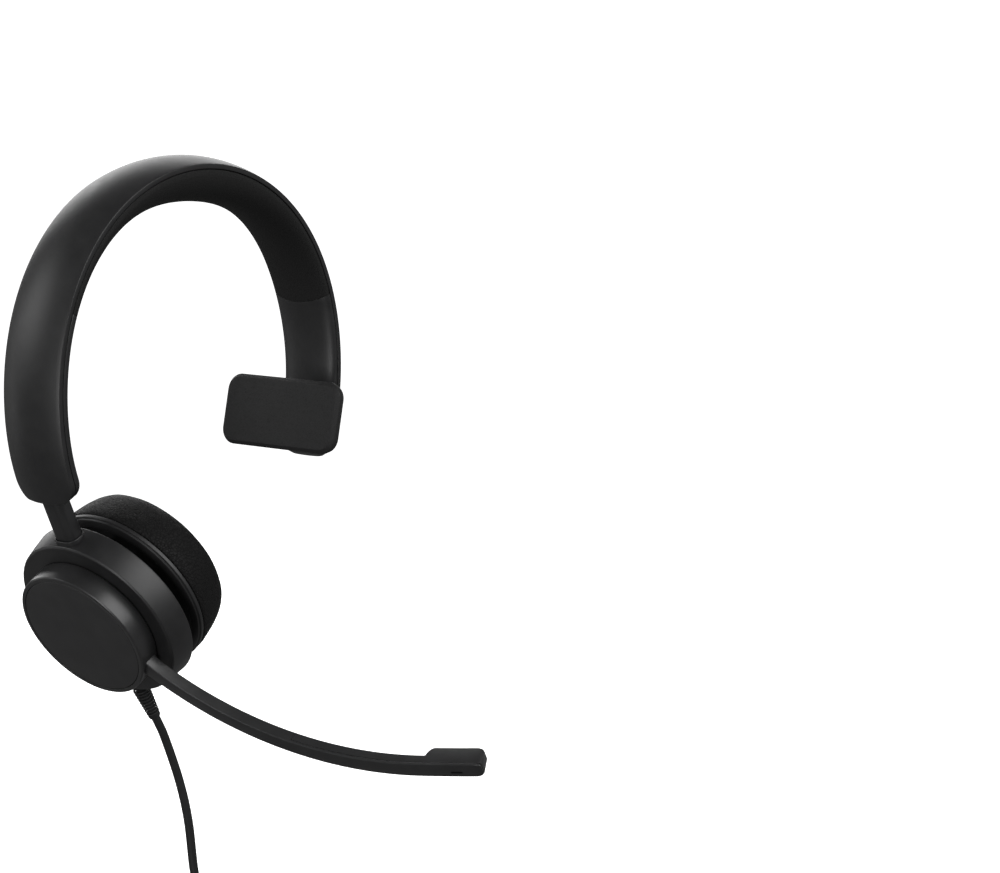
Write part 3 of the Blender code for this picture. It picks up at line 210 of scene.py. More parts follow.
def wornMetal(name, look):
    # Rolled or plated metal: drawn lines, a cloudy finish and dulled spots
    made, shader, wire, place = newMaterial(name, {"Metallic": 1.0})
    lines = noiseOf(wire, place, 420.0, 3.0, 0.6, look["stretch"])
    cloud = noiseOf(wire, place, 75.0, 3.0, 0.55)
    spots = noiseOf(wire, place, 640.0, 2.0, 0.6).ramp(0.62, 0.72)
    feed(wire, shader, "Base Color", (lines * 0.5 + cloud * 0.5 - spots * 0.3).mixed(look["dark"], look["light"]))
    feed(wire, shader, "Roughness", look["rough"] + (lines - 0.5) * 0.18 + cloud * 0.10 + spots * 0.12)
    bumpOf(wire, shader, lines, 0.25, 0.00002)
    return made


def boardMask(name, look):
    # Solder mask over copper runs
    made, shader, wire, place = newMaterial(name, {"Specular IOR Level": 0.5})
    settings = {"wave_type": "BANDS", "bands_direction": "DIAGONAL"}
    runs = wire.node("ShaderNodeTexWave", settings, {
        "Vector": place, "Scale": 160.0, "Distortion": 2.5, "Detail": 1.0,
    }, 1)
    copper = runs.ramp(0.62, 0.70)
    dust = noiseOf(wire, place, 900.0, 2.0, 0.6)
    feed(wire, shader, "Base Color", (copper * 0.8 + dust * 0.2).mixed(look["dark"], look["light"]))
    feed(wire, shader, "Roughness", 0.38 + dust * 0.2 - copper * 0.08)
    bumpOf(wire, shader, copper, 0.5, 0.00006)
    return made


def cordJacket(name, look):
    # Extruded jacket: faint drawn rings, dusty bloom on the matt skin
    made, shader, wire, place = newMaterial(name, {"Specular IOR Level": 0.35})
    skin = noiseOf(wire, place, 700.0, 3.0, 0.6)
    bloom = noiseOf(wire, place, 38.0, 4.0, 0.6)
    feed(wire, shader, "Base Color", (bloom * 0.7 + skin * 0.3).ramp(0.35, 0.75).mixed(look["dark"], look["light"]))
    feed(wire, shader, "Roughness", look["rough"] + (bloom - 0.5) * 0.16 + skin * 0.06)
    bumpOf(wire, shader, skin, 0.3, 0.00005)
    return made


def hookTape(name, look):
    # Loop side of a hook-and-loop tape: short fuzzy pile in rows
    made, shader, wire, place = newMaterial(name, {"Specular IOR Level": 0.2, "Sheen Weight": 0.4})
    pile = wire.node("ShaderNodeTexVoronoi", None, {"Vector": place, "Scale": 1500.0, "Randomness": 0.9})
    fuzz = noiseOf(wire, place, 2600.0, 3.0, 0.7)
    feed(wire, shader, "Base Color", (1.0 - pile).mixed(look["dark"], look["light"]))
    feed(wire, shader, "Roughness", 0.85 + fuzz * 0.12)
    bumpOf(wire, shader, fuzz * 0.6 - pile, 0.9, 0.0002)
    return made


def paleFloor(name, look):
    made, shader, wire, place = newMaterial(name, {"Specular IOR Level": 0.1, "Emission Strength": look["glow"]})
    cloud = noiseOf(wire, place, 1.2, 3.0, 0.5)
    feed(wire, shader, "Base Color", cloud.mixed(look["dark"], look["light"]))
    feed(wire, shader, "Roughness", 0.85 + cloud * 0.1)
    shader.inputs["Emission Color"].default_value = (1.0, 1.0, 1.0, 1.0)
    bumpOf(wire, shader, cloud, 0.05, 0.001)
    return made


satin = {
    "specular": 0.42, "cloudScale": 130.0, "cloudRough": 0.07, "pitScale": 1500.0, "bump": 0.35, "rub": 0.05,
    "rough": 0.44, "dark": (0.0085, 0.0085, 0.009), "light": (0.0135, 0.0135, 0.014),
}
finishes = {
    "satin": mouldedPlastic("satinBlackPlastic", satin),
    "hub": mouldedPlastic("hubPlastic", {
        **satin, "rough": 0.34, "dark": (0.015, 0.015, 0.0155), "light": (0.021, 0.021, 0.0215), "bump": 0.25,
    }),
    "cap": mouldedPlastic("capPlastic", {
        **satin, "rough": 0.56, "specular": 0.38, "bump": 0.45, "rub": 0.0,
        "dark": (0.018, 0.018, 0.0185), "light": (0.024, 0.024, 0.0245),
    }),
    "inner": mouldedPlastic("innerPlastic", {
        **satin, "rough": 0.58, "pitScale": 900.0, "bump": 0.5,
        "dark": (0.014, 0.014, 0.015), "light": (0.024, 0.024, 0.025),
    }),
    "gland": mouldedPlastic("glandRubber", {
        **satin, "rough": 0.62, "specular": 0.3, "pitScale": 1100.0, "bump": 0.4,
    }),
    "leather": grainedLeather("cushionLeatherette", {
        "specular": 0.13, "grainScale": 900.0, "rough": 0.58, "bump": 0.95, "depth": 0.00022,
        "dark": (0.0025, 0.0025, 0.0025), "light": (0.0075, 0.0075, 0.0075),
    }),
    "crown": grainedLeather("crownLeatherette", {
        "specular": 0.22, "grainScale": 1250.0, "rough": 0.70, "bump": 0.40, "depth": 0.00010,
        "dark": (0.005, 0.005, 0.005), "light": (0.010, 0.010, 0.010),
    }),
    "silicone": grainedLeather("templeSilicone", {
        "specular": 0.30, "grainScale": 1900.0, "rough": 0.60, "bump": 0.30, "depth": 0.00006,
        "dark": (0.007, 0.007, 0.0072), "light": (0.012, 0.012, 0.0124),
    }),
    "scrim": knitCloth("scrimKnit", {
        "pitch": 5200.0, "dark": (0.004, 0.004, 0.004), "light": (0.020, 0.020, 0.021),
    }),
    "spring": wornMetal("springSteel", {
        "rough": 0.30, "stretch": (1.0, 9.0, 1.0), "dark": (0.30, 0.30, 0.31), "light": (0.58, 0.58, 0.59),
    }),
    "pin": wornMetal("pinSteel", {
        "rough": 0.22, "stretch": (2.0, 2.0, 2.0), "dark": (0.42, 0.42, 0.42), "light": (0.66, 0.65, 0.63),
    }),
    "board": boardMask("boardSolderMask", {"dark": (0.008, 0.055, 0.022), "light": (0.03, 0.13, 0.05)}),
    "cord": cordJacket("cordJacket", {
        "rough": 0.50, "dark": (0.009, 0.009, 0.0095), "light": (0.017, 0.017, 0.0175),
    }),
    "tie": hookTape("hookTape", {"dark": (0.006, 0.006, 0.006), "light": (0.022, 0.022, 0.022)}),
    "floor": paleFloor("paleFloor", {"dark": (0.86, 0.86, 0.86), "light": (0.89, 0.89, 0.89), "glow": 1.0}),
}
print("materials done")

# ---- camera
cameraPlace = {
    "at": (-0.695448, -0.651723, 0.038486),
    "right": (0.58852, -0.80833, 0.01568),
    "up": (0.09644, 0.08945, 0.99131),
    "back": (-0.80271, -0.58189, 0.13060),
    "lens": 91.44,
    "sensor": 36.0,
}
view = bpy.data.objects.new("studioCamera", bpy.data.cameras.new("studioCamera"))
shown.objects.link(view)
turn = Matrix((cameraPlace["right"], cameraPlace["up"], cameraPlace["back"])).transposed().to_4x4()
view.matrix_world = Matrix.Translation(cameraPlace["at"]) @ turn
view.data.lens = cameraPlace["lens"]
view.data.sensor_width = cameraPlace["sensor"]
view.data.sensor_fit = "HORIZONTAL"
view.data.clip_end = 50.0
bpy.context.scene.camera = view


# ---- mesh helpers
def dress(made, finish, body, slot=None, *replaced):
    made.data.materials.clear()
    made.data.materials.append(finishes[finish])
    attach(made, body)
    if replaced:
        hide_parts(*replaced)
    return made


def smoothed(data, angle=38.0):
    data.shade_smooth()
    data.set_sharp_from_angle(angle=math.radians(angle))


def meshPiece(name, work, place=None, weld=True):
    if weld:
        bmesh.ops.remove_doubles(work, verts=work.verts, dist=1e-7)
    bmesh.ops.recalc_face_normals(work, faces=work.faces)
    data = bpy.data.meshes.new(name)
    work.to_mesh(data)
    work.free()
    if place is not None:
        data.transform(place)
    smoothed(data)
    made = bpy.data.objects.new(name, data)
    shown.objects.link(made)
    return made


def loft(name, rings, place=None):
    work = bmesh.new()
    rows = [[work.verts.new(point) for point in ring] for ring in rings]
    count = len(rows[0])
    for low, high in zip(rows, rows[1:]):
        for i in range(count):
            j = (i + 1) % count
            work.faces.new((low[i], low[j], high[j], high[i]))
    work.faces.new(list(reversed(rows[0])))
    work.faces.new(rows[-1])
    return meshPiece(name, work, place, weld=False)


def softened(corners, steps=4):
    # The closed outline with an arc of the given radius at each (x, y, radius) corner
    found = []
    count = len(corners)
    for i, (x, y, radius) in enumerate(corners):
        here = Vector((x, y))
        if not radius:
            found.append((x, y))
            continue
        before = Vector(corners[i - 1][:2])
        after = Vector(corners[(i + 1) % count][:2])
        a = (before - here).normalized()
        b = (after - here).normalized()
        half = math.acos(max(-1.0, min(1.0, a.dot(b)))) / 2.0
        reach = min(radius / math.tan(half), (before - here).length * 0.48, (after - here).length * 0.48)
        true = reach * math.tan(half)
        centre = here + (a + b).normalized() * (true / math.sin(half))
        first = here + a * reach - centre
        last = here + b * reach - centre
        sweep = first.angle_signed(last)
        for step in range(steps + 1):
            turned = first.copy()
            turned.rotate(Matrix.Rotation(-sweep * step / steps, 2))
            found.append(tuple(centre + turned))
    return found


def lathe(name, profile, place, steps=120):
    # profile: (radius, height) round the section; points on the axis close into poles
    work = bmesh.new()
    rows = []
    for radius, height in profile:
        if radius < 1e-7:
            rows.append([work.verts.new((0.0, 0.0, height))])
            continue
        turns = [2.0 * math.pi * i / steps for i in range(steps)]
        rows.append([work.verts.new((radius * math.cos(a), radius * math.sin(a), height)) for a in turns])
    for low, high in zip(rows, rows[1:] + rows[:1]):
        if len(low) == 1 and len(high) == 1:
            continue
        for i in range(steps):
            j = (i + 1) % steps
            corners = [low[i % len(low)], low[j % len(low)], high[j % len(high)], high[i % len(high)]]
            unique = []
            for corner in corners:
                if corner not in unique:
                    unique.append(corner)
            work.faces.new(unique)
    return meshPiece(name, work, place, weld=False)


def cupLathe(name, corners, steps=120, arc=4):
    # corners: (radius, depth below the cap's face, corner radius), in millimetres
    profile = softened([(r * mm, -d * mm, c * mm) for r, d, c in corners], arc)
    return lathe(name, profile, cupFrame, steps)


def roundedBox(name, size, centre, place, bevel, segments=3):
    work = bmesh.new()
    bmesh.ops.create_cube(work, size=1.0, matrix=Matrix.Translation(centre) @ Matrix.Diagonal((*size, 1.0)))
    if bevel:
        bmesh.ops.bevel(work, geom=list(work.edges), offset=bevel, segments=segments, profile=0.5, affect="EDGES")
    return meshPiece(name, work, place)


def roundedOutline(width, height, radius, arc=8):
    outline = []
    for quarter, (sx, sy) in enumerate(((1, 1), (-1, 1), (-1, -1), (1, -1))):
        centre = (sx * (width / 2.0 - radius), sy * (height / 2.0 - radius))
        for step in range(arc):
            a = math.radians(90.0 * (quarter + step / (arc - 1)))
            outline.append((centre[0] + radius * math.cos(a), centre[1] + radius * math.sin(a)))
    return outline


def prism(name, width, height, radius, low, high, place, edge=0.0, steps=4, arc=8):
    # A rounded slab along local Z with rounded rims
    rings = []
    for level, sign in ((low, 1.0), (high, -1.0)):
        turns = [i / steps for i in range(steps + 1)] if edge else [0.0]
        if sign < 0:
            turns.reverse()
        for share in turns:
            a = share * math.pi / 2.0
            inset = edge * (1.0 - math.sin(a))
            z = level + sign * edge * (1.0 - math.cos(a))
            outline = roundedOutline(width - 2.0 * inset, height - 2.0 * inset, max(radius - inset, 0.0001), arc)
            rings.append([(x, y, z) for x, y in outline])
    return loft(name, rings, place)


def combine(piece, others, operation="DIFFERENCE"):
    for other in others:
        change = piece.modifiers.new(operation, "BOOLEAN")
        change.operation = operation
        change.object = other
        change.solver = "EXACT"
    graph = bpy.context.evaluated_depsgraph_get()
    data = bpy.data.meshes.new_from_object(piece.evaluated_get(graph))
    piece.modifiers.clear()
    old = piece.data
    piece.data = data
    data.name = piece.name
    bpy.data.meshes.remove(old)
    for other in others:
        bpy.data.objects.remove(other)
    smoothed(data)
    return piece


def cylinder(name, radius, low, high, place, sides=48):
    return lathe(name, [(0.0, low), (radius, low), (radius, high), (0.0, high)], place, sides)


def ease(value):
    clipped = min(max(value, 0.0), 1.0)
    return clipped * clipped * (3.0 - 2.0 * clipped)


def throughPoints(knots, spacing):
    # Evenly spaced points on a smooth curve through the knots
    dense = []
    ends = [knots[0] * 2.0 - knots[1]] + knots + [knots[-1] * 2.0 - knots[-2]]
    for a, b, c, d in zip(ends, ends[1:], ends[2:], ends[3:]):
        for i in range(24):
            t = i / 24.0
            square = (a * 2.0 - b * 5.0 + c * 4.0 - d) * t**2
            cube = (b * 3.0 - a - c * 3.0 + d) * t**3
            dense.append(0.5 * (b * 2.0 + (c - a) * t + square + cube))
    dense.append(knots[-1].copy())
    lengths = [0.0]
    for a, b in zip(dense, dense[1:]):
        lengths.append(lengths[-1] + (b - a).length)
    count = max(3, round(lengths[-1] / spacing))
    found = []
    at = 0
    for i in range(count + 1):
        goal = lengths[-1] * i / count
        while at < len(lengths) - 2 and lengths[at + 1] < goal:
            at += 1
        span = lengths[at + 1] - lengths[at]
        found.append(dense[at].lerp(dense[at + 1], (goal - lengths[at]) / span))
    return found


# ---- cord: hangs from the gland, put away in a round coil, plug below
cordSizes = {
    "diameter": 3.5 * mm,
    "ring": 21.0 * mm,
    "slots": (
        (-1.75, -5.05), (-3.5, -2.02), (0.0, -2.02), (3.5, -2.02), (5.25, 1.01), (1.75, 1.01),
        (-1.75, 1.01), (-5.25, 1.01), (-3.5, 4.04), (0.0, 4.04), (3.5, 4.04),
    ),  # outwards and back from the ring's middle line, in millimetres
    "firstChange": 330.0,
    "changeStep": 20.0,
    "changeWide": 40.0,
    "start": 90.0,
    "end": 88.0,
    "step": 12.0,
}


def slotAt(turned):
    slots = cordSizes["slots"]
    u, v = slots[0]
    for lap in range(len(slots) - 1):
        low = cordSizes["firstChange"] - lap * cordSizes["changeStep"] + 360.0 * lap
        low -= cordSizes["changeWide"] / 2.0
        share = (turned - low) / cordSizes["changeWide"]
        if share <= 0.0:
            break
        share = min(share, 1.0)
        share = share**3 * (share * (6.0 * share - 15.0) + 10.0)
        u = slots[lap][0] + (slots[lap + 1][0] - slots[lap][0]) * share
        v = slots[lap][1] + (slots[lap + 1][1] - slots[lap][1]) * share
    return u * mm, v * mm


def makeCord():
    ringLow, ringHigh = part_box("cord_coil")
    exit = cupFrame @ Vector((0.0, -(34.446 + 16.5 + 0.3) * mm, -13.3 * mm))
    down = -(cupFrame.to_3x3() @ Vector((0.0, 1.0, 0.0)))
    centre = (ringLow + ringHigh) / 2.0
    line = cordSizes["ring"] * math.sin(math.radians(50.0))

    def near(x, y, z):  # from the coil's centre
        return centre + Vector((x, y, z))

    def below(x, z):  # from the gland's end
        return exit + Vector((x, 0.0, z))

    free = [
        exit,
        exit + down * 3.0 * mm,
        exit + down * 10.0 * mm + Vector((0.2 * mm, 0.0, -1.0 * mm)),
        below(13.2 * mm, -27.7 * mm),
        below(18.2 * mm, -44.6 * mm),
        near(line - 1.2 * mm, -0.3 * mm, exit.z - centre.z - 66.6 * mm),
        near(line, -3.6 * mm, 32.0 * mm),
        near(line + 0.1 * mm, -5.7 * mm, 22.0 * mm),
        near(line + 1.2 * mm, -5.75 * mm, 13.0 * mm),
        near(line + 2.5 * mm, -5.4 * mm, 6.0 * mm),
    ]
    turns = []
    total = 360.0 * (len(cordSizes["slots"]) - 1) + cordSizes["end"] - cordSizes["start"]
    count = int(round(total / cordSizes["step"]))
    for i in range(count + 1):
        angle = cordSizes["start"] + total * i / count
        u, v = slotAt(angle)
        a = math.radians(angle)
        radius = cordSizes["ring"] + u
        turns.append(near(radius * math.sin(a), v, radius * math.cos(a)))
    tail = [
        near(24.4 * mm, 4.55 * mm, -9.0 * mm),
        near(24.0 * mm, 4.3 * mm, -20.0 * mm),
        near(23.2 * mm, 2.4 * mm, -32.0 * mm),
        near(22.4 * mm, 0.5 * mm, -43.0 * mm),
        near(22.2 * mm, 0.0 * mm, -50.1 * mm),
    ]
    points = throughPoints(free + turns + tail, 3.4 * mm)
    data = bpy.data.curves.new("headsetCord", "CURVE")
    data.dimensions = "3D"
    spline = data.splines.new("POLY")
    spline.points.add(len(points) - 1)
    for point, where in zip(spline.points, points):
        point.co = (*where, 1.0)
    data.bevel_depth = cordSizes["diameter"] / 2.0
    data.bevel_resolution = 3
    data.use_fill_caps = True
    cord = bpy.data.objects.new("headsetCord", data)
    shown.objects.link(cord)
    long = sum((b - a).length for a, b in zip(points, points[1:]))
    print("cord", round(long, 4), "m, coil end", [round(v * 1000, 1) for v in points[-1]])
    return cord, exit, long


cord, cordExit, cordLong = makeCord()
dress(cord, "cord", "earpiece", "cord_jacket", "cord_tube", "cord_coil", "cord_tail")

# ---- light and floor
studio = {
    "above": 0.17,  # sky brightness from overhead
    "below": 0.18,
    "lamps": {
        # direction from the headset, distance, width and height in metres, power in watts
        "key": {"towards": (0.06, -0.80, 0.58), "far": 1.25, "size": (1.00, 0.95), "power": 14.0},
        "backLeft": {"towards": (-0.64, 0.68, 0.42), "far": 1.30, "size": (0.70, 0.60), "power": 4.2},
        "rear": {"towards": (-0.34, 0.93, 0.02), "far": 1.40, "size": (0.25, 0.90), "power": 0.9},
        "left": {"towards": (-0.96, -0.30, -0.02), "far": 1.40, "size": (0.35, 0.90), "power": 8.0},
        "horizon": {"towards": (0.61, 0.70, 0.40), "far": 1.60, "size": (1.40, 1.15), "power": 14.0},
    },
    "floorDrop": 0.42,
    "floorReach": 2.6,
    "wallCurve": 1.2,
    "wallTop": 3.2,
}


def softBox(name, look, target=(0.0, 0.0, -0.1)):
    data = bpy.data.lights.new(name, "AREA")
    data.shape = "RECTANGLE"
    data.size, data.size_y = look["size"]
    data.energy = look["power"]
    made = bpy.data.objects.new(name, data)
    shown.objects.link(made)
    made.location = Vector(target) + Vector(look["towards"]).normalized() * look["far"]
    aim = Vector(target) - made.location
    made.rotation_euler = aim.to_track_quat("-Z", "Y").to_euler()
    return made


def makeStudio():
    for lamp, look in studio["lamps"].items():
        softBox(lamp + "Light", look)
    world = bpy.data.worlds.new("studioWorld")
    world.use_nodes = True
    wire = Wire(world.node_tree)
    split = world.node_tree.nodes.new("ShaderNodeSeparateXYZ")
    world.node_tree.links.new(wire.node("ShaderNodeTexCoord", output="Generated").socket, split.inputs[0])
    height = Wire(world.node_tree, split.outputs["Z"]).ramp(-0.7, 0.8)
    strength = studio["below"] + height * (studio["above"] - studio["below"])
    world.node_tree.links.new(strength.socket, world.node_tree.nodes["Background"].inputs["Strength"])
    world.node_tree.nodes["Background"].inputs["Color"].default_value = (1.0, 1.0, 1.0, 1.0)
    bpy.context.scene.world = world
    bpy.context.scene.view_settings.view_transform = "Standard"
    drop, reach, curve = studio["floorDrop"], studio["floorReach"], studio["wallCurve"]
    profile = [(0.0, 0.0), (0.5, 0.0), (1.2, 0.0), (reach, 0.0)]
    for i in range(1, 13):
        a = math.pi / 2.0 * i / 12
        profile.append((reach + curve * math.sin(a), curve * (1.0 - math.cos(a))))
    profile.append((reach + curve, studio["wallTop"]))
    work = bmesh.new()
    rows = []
    for radius, height in profile:
        turns = [2.0 * math.pi * i / 96 for i in range(96)] if radius else [0.0]
        rows.append([work.verts.new((radius * math.cos(a), radius * math.sin(a), height - drop)) for a in turns])
    for low, high in zip(rows, rows[1:]):
        for i in range(96):
            j = (i + 1) % 96
            corners = (low[0], high[i], high[j]) if len(low) == 1 else (low[i], high[i], high[j], low[j])
            work.faces.new(corners)
    data = bpy.data.meshes.new("studioFloor")
    work.to_mesh(data)
    work.free()
    data.shade_smooth()
    floor = bpy.data.objects.new("studioFloor", data)
    shown.objects.link(floor)
    floor.data.materials.append(finishes["floor"])
    floor.visible_diffuse = False  # the floor whitens the view without lighting the object from below
    floor.visible_glossy = False
    floor.visible_shadow = False


makeStudio()
print("camera, cord and light done")

# ---- headband: sections carried along the arch's crease line
band = {
    "radius": 76.75 * mm, "rise": 0.1767, "terms": (0.0019, -0.0232, -0.0117),
    "leftEnd": 202.0, "rightEnd": -19.5, "width": 27.9 * mm, "narrowing": 2.0 * mm, "spread": 1.3 * mm,
    "crown": 3.0 * mm, "side": 1.8 * mm, "wall": 1.6 * mm, "leftDepth": 8.8 * mm, "rightDepth": 6.5 * mm,
    "crownDepth": 14.3 * mm, "crownAngle": 91.0, "crownSpread": 35.0, "corner": 7.5 * mm, "padEnd": 29.5,
    "seam": 0.28 * mm, "coverWall": 1.5 * mm, "endWall": 1.6 * mm, "crease": 0.3 * mm, "rim": 0.3 * mm,
    "padBow": 2.6 * mm,  # how far the pad's ends bow down the legs at the middle
    "endRound": 0.9 * mm,
    "toe": (6.5 * mm, 3.6 * mm),  # the covers' ends: length and depth of their rounding
    "toeEase": 2.2,
    "lip": (1.75 * mm, 0.45 * mm, 1.0 * mm),  # behind the seam: how far in, how high, how thick
}


def rightShare(angle):
    return ease((40.0 - angle) / 45.0)


def creaseAt(angle):  # world point, from the arch's centre below the crown
    a = math.radians(angle)
    second, third, fourth = band["terms"]
    shape = 1.0 + band["rise"] * math.sin(a)
    shape += second * math.cos(2.0 * a) + third * math.sin(3.0 * a) + fourth * math.cos(4.0 * a)
    radius = band["radius"] * shape + band["spread"] * rightShare(angle)
    return Vector((radius * math.cos(a), 0.0, radius * math.sin(a)))


def inwardAt(angle):
    along = (creaseAt(angle + 0.2) - creaseAt(angle - 0.2)).normalized()
    return Vector((-along.z, 0.0, along.x))


def stepOf(angle, distance):
    return distance / (creaseAt(angle + 0.5) - creaseAt(angle - 0.5)).length


def halfWidth(angle):
    return (band["width"] - band["narrowing"] * rightShare(angle)) / 2.0


def depthAt(angle):
    share = ease((angle - band["crownAngle"] + 60.0) / 120.0)
    leg = band["rightDepth"] + (band["leftDepth"] - band["rightDepth"]) * share
    bulge = math.exp(-(((angle - band["crownAngle"]) / band["crownSpread"]) ** 2))
    return leg + (band["crownDepth"] - leg) * bulge


archCentre = Vector((0.0, 0.0, -(creaseAt(90.0) + inwardAt(90.0) * band["crownDepth"]).z))


def bandPoint(angle, y, depth):
    return archCentre + creaseAt(angle) + inwardAt(angle) * depth + Vector((0.0, y, 0.0))


def topArc(half, full, inset, count=18):
    found = []
    for i in range(count + 1):
        y = -half + 2.0 * half * i / count
        found.append((y, -band["crown"] * (1.0 - (y / full) ** 2) + inset, 0.0))
    return found


def bellyArc(half, full, side, depth, inset, count=22):
    found = []
    for i in range(count + 1):
        y = half * math.cos(math.pi * i / count)
        belly = side + (depth - side) * math.sqrt(max(0.0, 1.0 - (y / full) ** 2))
        found.append((y, belly - inset, 0.0))
    return found


def shellSection(angle, half, inset):
    top = topArc(half, halfWidth(angle), inset)
    top[0] = (*top[0][:2], band["crease"])
    top[-1] = (*top[-1][:2], band["crease"])
    low = band["side"] - inset
    return softened(top + [(half, low, band["rim"]), (-half, low, band["rim"])], 3)


def bellySection(side, lift, rim, edge, toeAt=None):
    def section(angle, half, inset):
        wide = half - edge
        depth = depthAt(angle)
        if toeAt is not None:
            long, drop = band["toe"]
            left = max(0.0, 1.0 - abs(angle - toeAt) / stepOf(toeAt, long))
            depth -= drop * (1.0 - math.sqrt(max(0.0, 1.0 - left**band["toeEase"])))
        arc = bellyArc(wide, half + inset, side + lift, depth, inset)
        arc[0] = (*arc[0][:2], rim)
        arc[-1] = (*arc[-1][:2], rim)
        inner, rise = wide - band["lip"][0], band["lip"][1]
        if half < halfWidth(angle) - 3.0 * mm:  # the lip stops short of the covers' ends
            rise = 0.02 * mm
        lip = [(-inner, side + inset, 0.0), (-inner, side - rise, 0.0)]
        lip += [(-y, depth, 0.0) for y, depth, r in reversed(lip)]
        return softened(arc + [(-wide, side + inset, rim * 0.6)] + lip + [(wide, side + inset, rim * 0.6)], 3)
    return section


def hollowSection(angle, half, inset):
    inner = half - band["wall"]
    top = [(y, z + band["wall"], 0.0) for y, z, _ in topArc(inner, halfWidth(angle), 0.0, 8)]
    return softened(top + [(inner, band["side"] + 1.0 * mm, 0.0), (-inner, band["side"] + 1.0 * mm, 0.0)])


def coverHollow(angle, half, inset):  # ends well inside the rounded toes
    side = band["side"] + band["seam"]
    edge = half - 0.1 * mm - band["coverWall"] - band["lip"][2]
    full = halfWidth(angle) - band["coverWall"]
    arc = bellyArc(edge, full, side + 0.3 * mm, depthAt(angle) - band["coverWall"], 0.0, 9)
    return softened(arc + [(-edge, side - 1.0 * mm, 0.0), (edge, side - 1.0 * mm, 0.0)])


def bandStations(start, stop, corners, rounds, spacing):
    # (angle, narrowing, inset): close together where an end is rounded in plan or over its edge
    found = []
    for end, sign, corner, edge in ((start, 1.0, corners[0], rounds[0]), (stop, -1.0, corners[1], rounds[1])):
        reach = max(corner, edge)
        marks = {0.0}
        if edge:
            marks |= {edge * (1.0 - math.cos(math.pi / 2.0 * i / 5)) for i in range(1, 6)}
        if corner:
            marks |= {corner * (1.0 - math.cos(math.pi / 2.0 * i / 12)) for i in range(1, 13)}
        row = []
        for mark in sorted(marks):
            narrow = corner - math.sqrt(max(0.0, corner**2 - max(0.0, corner - mark) ** 2)) if corner else 0.0
            inset = edge - math.sqrt(max(0.0, edge**2 - max(0.0, edge - mark) ** 2)) if edge else 0.0
            row.append((end + sign * stepOf(end, mark), narrow, inset))
        found.append((row, end + sign * stepOf(end, reach)))
    (first, low), (last, high) = found
    count = max(2, round(abs(high - low) / stepOf((low + high) / 2.0, spacing)))
    middle = [(low + (high - low) * i / count, 0.0, 0.0) for i in range(1, count)]
    return first + middle + list(reversed(last))


def bandPiece(
    name, start, stop, section, corners=(0.0, 0.0), rounds=(0.0, 0.0), spacing=2.0 * mm, bows=(0.0, 0.0),
):
    rings = []
    fade = 14.0 * mm
    for angle, narrow, inset in bandStations(start, stop, corners, rounds, spacing):
        half = halfWidth(angle) - narrow - inset
        ring = []
        for y, depth in section(angle, half, inset):
            rise = 1.0 - (y / halfWidth(angle)) ** 2
            shift = 0.0
            for end, bow, sign in ((start, bows[0], 1.0), (stop, bows[1], -1.0)):
                away = abs(angle - end) / stepOf(end, fade)
                shift += bow * rise * max(0.0, 1.0 - away) ** 2
            ring.append(bandPoint(angle + stepOf(angle, shift), y, depth))
        rings.append(ring)
    return loft(name, rings)


def stemFrame(axis, origin):  # Z up the stem, X forward
    up = -axis
    forward = Vector((0.0, -1.0, 0.0))
    turn = Matrix((forward, up.cross(forward), up)).transposed().to_4x4()
    return Matrix.Translation(origin) @ turn


slider = {
    "angle": 25.6, "depth": 2.4 * mm, "length": 17.75 * mm,
    "seat": 3.2 * mm, "thick": 7.6 * mm, "wide": 9.2 * mm,
    "round": 2.9 * mm, "rail": (9.0 * mm, 1.4 * mm),
    "railDepth": 2.1 * mm, "railLength": 46.5 * mm,
}
stemTop = archCentre + creaseAt(band["leftEnd"]) + inwardAt(band["leftEnd"]) * slider["depth"]
stemAxis = Vector((math.sin(math.radians(slider["angle"])), 0.0, -math.cos(math.radians(slider["angle"]))))
stemPlace = stemFrame(stemAxis, stemTop)
railFoot = archCentre + creaseAt(band["leftEnd"]) + inwardAt(band["leftEnd"]) * slider["railDepth"]
railPlace = stemFrame(Vector(joints["slider"]["axis"]).normalized(), railFoot)


def passage(name):
    size = (slider["wide"] + 0.72 * mm, slider["thick"] + 0.72 * mm)
    return prism(name, *size, 3.1 * mm, -6.0 * mm, 6.0 * mm, stemPlace)


